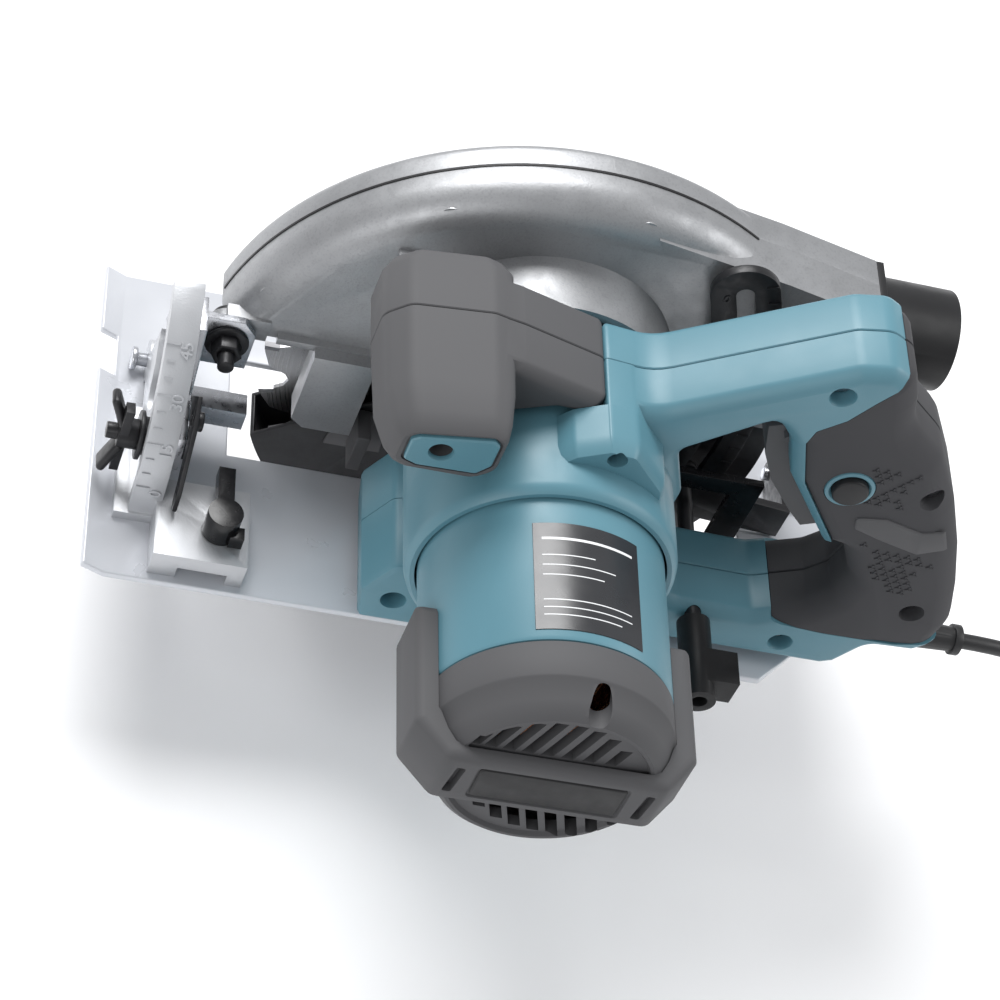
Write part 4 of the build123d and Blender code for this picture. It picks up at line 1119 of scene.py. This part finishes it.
class SawGuards(bpy.types.Operator):
    """Cast upper guard, its cover, the swinging guard and the dust outlet"""

    bl_idname = "saw.guards"
    bl_label = "Guards"

    def execute(self, context):
        softened("upper_guard", 0.9, 3, cast_paint(), 30)
        softened("guard_cover", 0.6, 2, cast_paint(), 30)
        softened("lower_guard", 0.35, 2, black_oxide())
        softened("guard_lever", 1.2, 3, charcoal_plastic())
        self.outlet()
        self.ribs()
        softened("guard_screws", 0.3, 2)
        return {"FINISHED"}

    def outlet(self):
        softened("dust_outlet", 0.6, 2, dark_moulding())

    def ribs(self):
        """A near-black strip of painted shade along the seam between guard and cover, and a cast rib on the
        guard's motor side.
        """
        # Painted shade: a near-black strip laid over the seam on the guard's rim, standing in for the shadow in
        # the gap between guard and cover.
        painted_seam_shade = arc_strip("guard_seam", ARBOR, 118.2, 118.8, 0.3, 1.3, 12, 168, 96)
        fitted(painted_seam_shade, "saw_body", dark_moulding())
        rib = box_piece("guard_rib", (-66, -19.4, 112), (-44, -16.4, 114.4), 0.9, 3)
        fitted(rib, "saw_body", cast_paint())


class SawSole(bpy.types.Operator):
    """Sole plate with its rear bracket and rivets"""

    bl_idname = "saw.sole"
    bl_label = "Sole"

    def execute(self, context):
        softened("base_plate", 0.7, 3)
        softened("base_rivets", 0.5, 2)
        softened("rear_pivot_bracket", 0.4, 2)
        softened("tilt_pins", 0.5, 2)
        return {"FINISHED"}


class SawQuadrant(bpy.types.Operator):
    """Bevel quadrant with raised degree marks and figures"""

    bl_idname = "saw.quadrant"
    bl_label = "Bevel quadrant"

    zero = 170.0

    def execute(self, context):
        softened("front_quadrant", 0.6, 2, quadrant_paint())
        marks = grown("bevel_marks", marks_tree(), {
            "Count": sizes().degree_marks, "Start": radians(self.zero - 45), "Step": radians(5),
            "Radius": 0.0711,
            "Length": 0.0009, "Width": 0.0008, "Height": 0.0030, "Long every": 3, "Long scale": (1, 1, 1.7),
            "Finish": quadrant_paint()})
        turned_into(marks, TILT_AXIS + Vector((-134.4, 0, 0)), (0, 1, 0), (0, 0, 1))
        fitted(marks, "base", quadrant_paint())
        figures = []
        for value in (0, 15, 30, 45):
            turn = radians(self.zero - value + 1.6)
            out = Vector((0, cos(turn), sin(turn)))
            climb = Vector((0, sin(turn), -cos(turn)))
            place = TILT_AXIS + out * 71.0 + Vector((-129.2, 0, 0))
            figures.append(raised_text("figure", str(value), 6.2, 0.5, place, climb, out.cross(climb)))
        fitted(joined("bevel_figures", figures), "base", quadrant_paint())
        return {"FINISHED"}


class SawTiltFrame(bpy.types.Operator):
    """Front bracket, pointer, depth guide and their bolts"""

    bl_idname = "saw.tilt_frame"
    bl_label = "Tilting frame"

    def execute(self, context):
        softened("front_tilt_bracket", 0.4, 2)
        softened("tilt_clamp_bolt", 0.3, 2, black_oxide())
        softened("tilt_pointer", 0.3, 2)
        softened("tilt_pointer_screw", 0.4, 2, black_oxide())
        softened("depth_guide", 0.4, 2)
        softened("depth_pivot_bolt", 0.4, 2, black_oxide())
        marks = grown("depth_scale", marks_tree(), {
            "Count": sizes().depth_marks, "Start": radians(-6), "Step": radians(2.4), "Radius": 0.1955,
            "Length": 0.0040, "Width": 0.0007, "Height": 0.0008, "Long every": 5, "Finish": black_oxide()})
        turned_into(marks, DEPTH_PIVOT + Vector((0, -24.2, 0)), (1, 0, 0), (0, 0, 1))
        fitted(marks, "tilt_frame", black_oxide())
        figures = []
        for k in range(7):
            turn = radians(-8.7 + 1.6 + 5.2 * k)
            place = DEPTH_PIVOT + Vector((179.0 * cos(turn), -24.0, 179.0 * sin(turn)))
            figures.append(raised_text("figure", str(60 - 10 * k), 5.0, 0.35, place, (1, 0, 0), (0, 0, 1)))
        fitted(joined("depth_figures", figures), "tilt_frame", black_oxide())
        return {"FINISHED"}


class SawControls(bpy.types.Operator):
    """Trigger, lock-off button, levers, wing nut and spindle lock"""

    bl_idname = "saw.controls"
    bl_label = "Controls"

    def execute(self, context):
        softened("trigger", 1.6, 3, charcoal_plastic())
        softened("lock_off_button", 0.8, 3, dark_moulding())
        softened("spindle_lock", 0.8, 3, gloss_black())
        softened("depth_lock_lever", 1.2, 3, dark_moulding())
        softened("depth_clamp_rod", 0.4, 2, black_oxide())
        softened("fence_lock_lever", 1.0, 3, gloss_black())
        softened("wing_nut", 0.9, 3, black_oxide())
        wings = []
        for side in (-14, 166):
            wing = box_piece("wing", (-1.7, -4.4, 3.5), (1.7, 4.4, 17.5), 1.6, 3)
            lean = Matrix.Rotation(radians(-24), 4, "Y")
            turn = Matrix.Rotation(radians(side), 4, "X")
            wing.data.transform(Matrix.Translation(Vector((-142.6, -48.45, 27.61)) * MM) @ turn @ lean)
            wings.append(wing)
        fitted(joined("wing_nut_wings", wings), "wing_nut", black_oxide())
        return {"FINISHED"}


class SawWorks(bpy.types.Operator):
    """Blade, spindle, gears, armature and the other parts inside"""

    bl_idname = "saw.works"
    bl_label = "Blade and works"

    def execute(self, context):
        for node in ("spindle", "inner_flange", "outer_flange", "blade_bolt"):
            softened(node, 0.4, 2)
        for node in NODES:
            if not NODES[node].hide_render:
                NODES[node].data.materials.clear()
                NODES[node].data.materials.append(SLOT_FINISH[NODE_SLOT[node]]())
        return {"FINISHED"}


OPERATORS = [SawStage, SawCord, SawHousing, SawPommel, SawMotor, SawGuards, SawSole, SawQuadrant, SawTiltFrame,
             SawControls, SawWorks]


class SawPanel(bpy.types.Panel):
    """Lists the saw's building steps"""

    bl_idname = "VIEW3D_PT_saw"
    bl_label = "Circular saw"
    bl_space_type = "VIEW_3D"
    bl_region_type = "UI"
    bl_category = "Saw"

    def draw(self, context):
        for group in (context.scene.saw_sizes, context.scene.saw_colours):
            for name in group.bl_rna.properties.keys():
                if name not in ("rna_type", "name"):
                    self.layout.prop(group, name)
        for step in OPERATORS:
            self.layout.operator(step.bl_idname)


CLASSES = [SawSizes, SawColours] + OPERATORS + [SawPanel]


def register():
    for cls in CLASSES:
        bpy.utils.register_class(cls)
    bpy.types.Scene.saw_sizes = PointerProperty(type=SawSizes)
    bpy.types.Scene.saw_colours = PointerProperty(type=SawColours)


def unregister():
    del bpy.types.Scene.saw_colours
    del bpy.types.Scene.saw_sizes
    for cls in reversed(CLASSES):
        bpy.utils.unregister_class(cls)


def main():
    register()
    for step in OPERATORS:
        group, name = step.bl_idname.split(".")
        getattr(getattr(bpy.ops, group), name)()


if __name__ == "__main__":
    main()
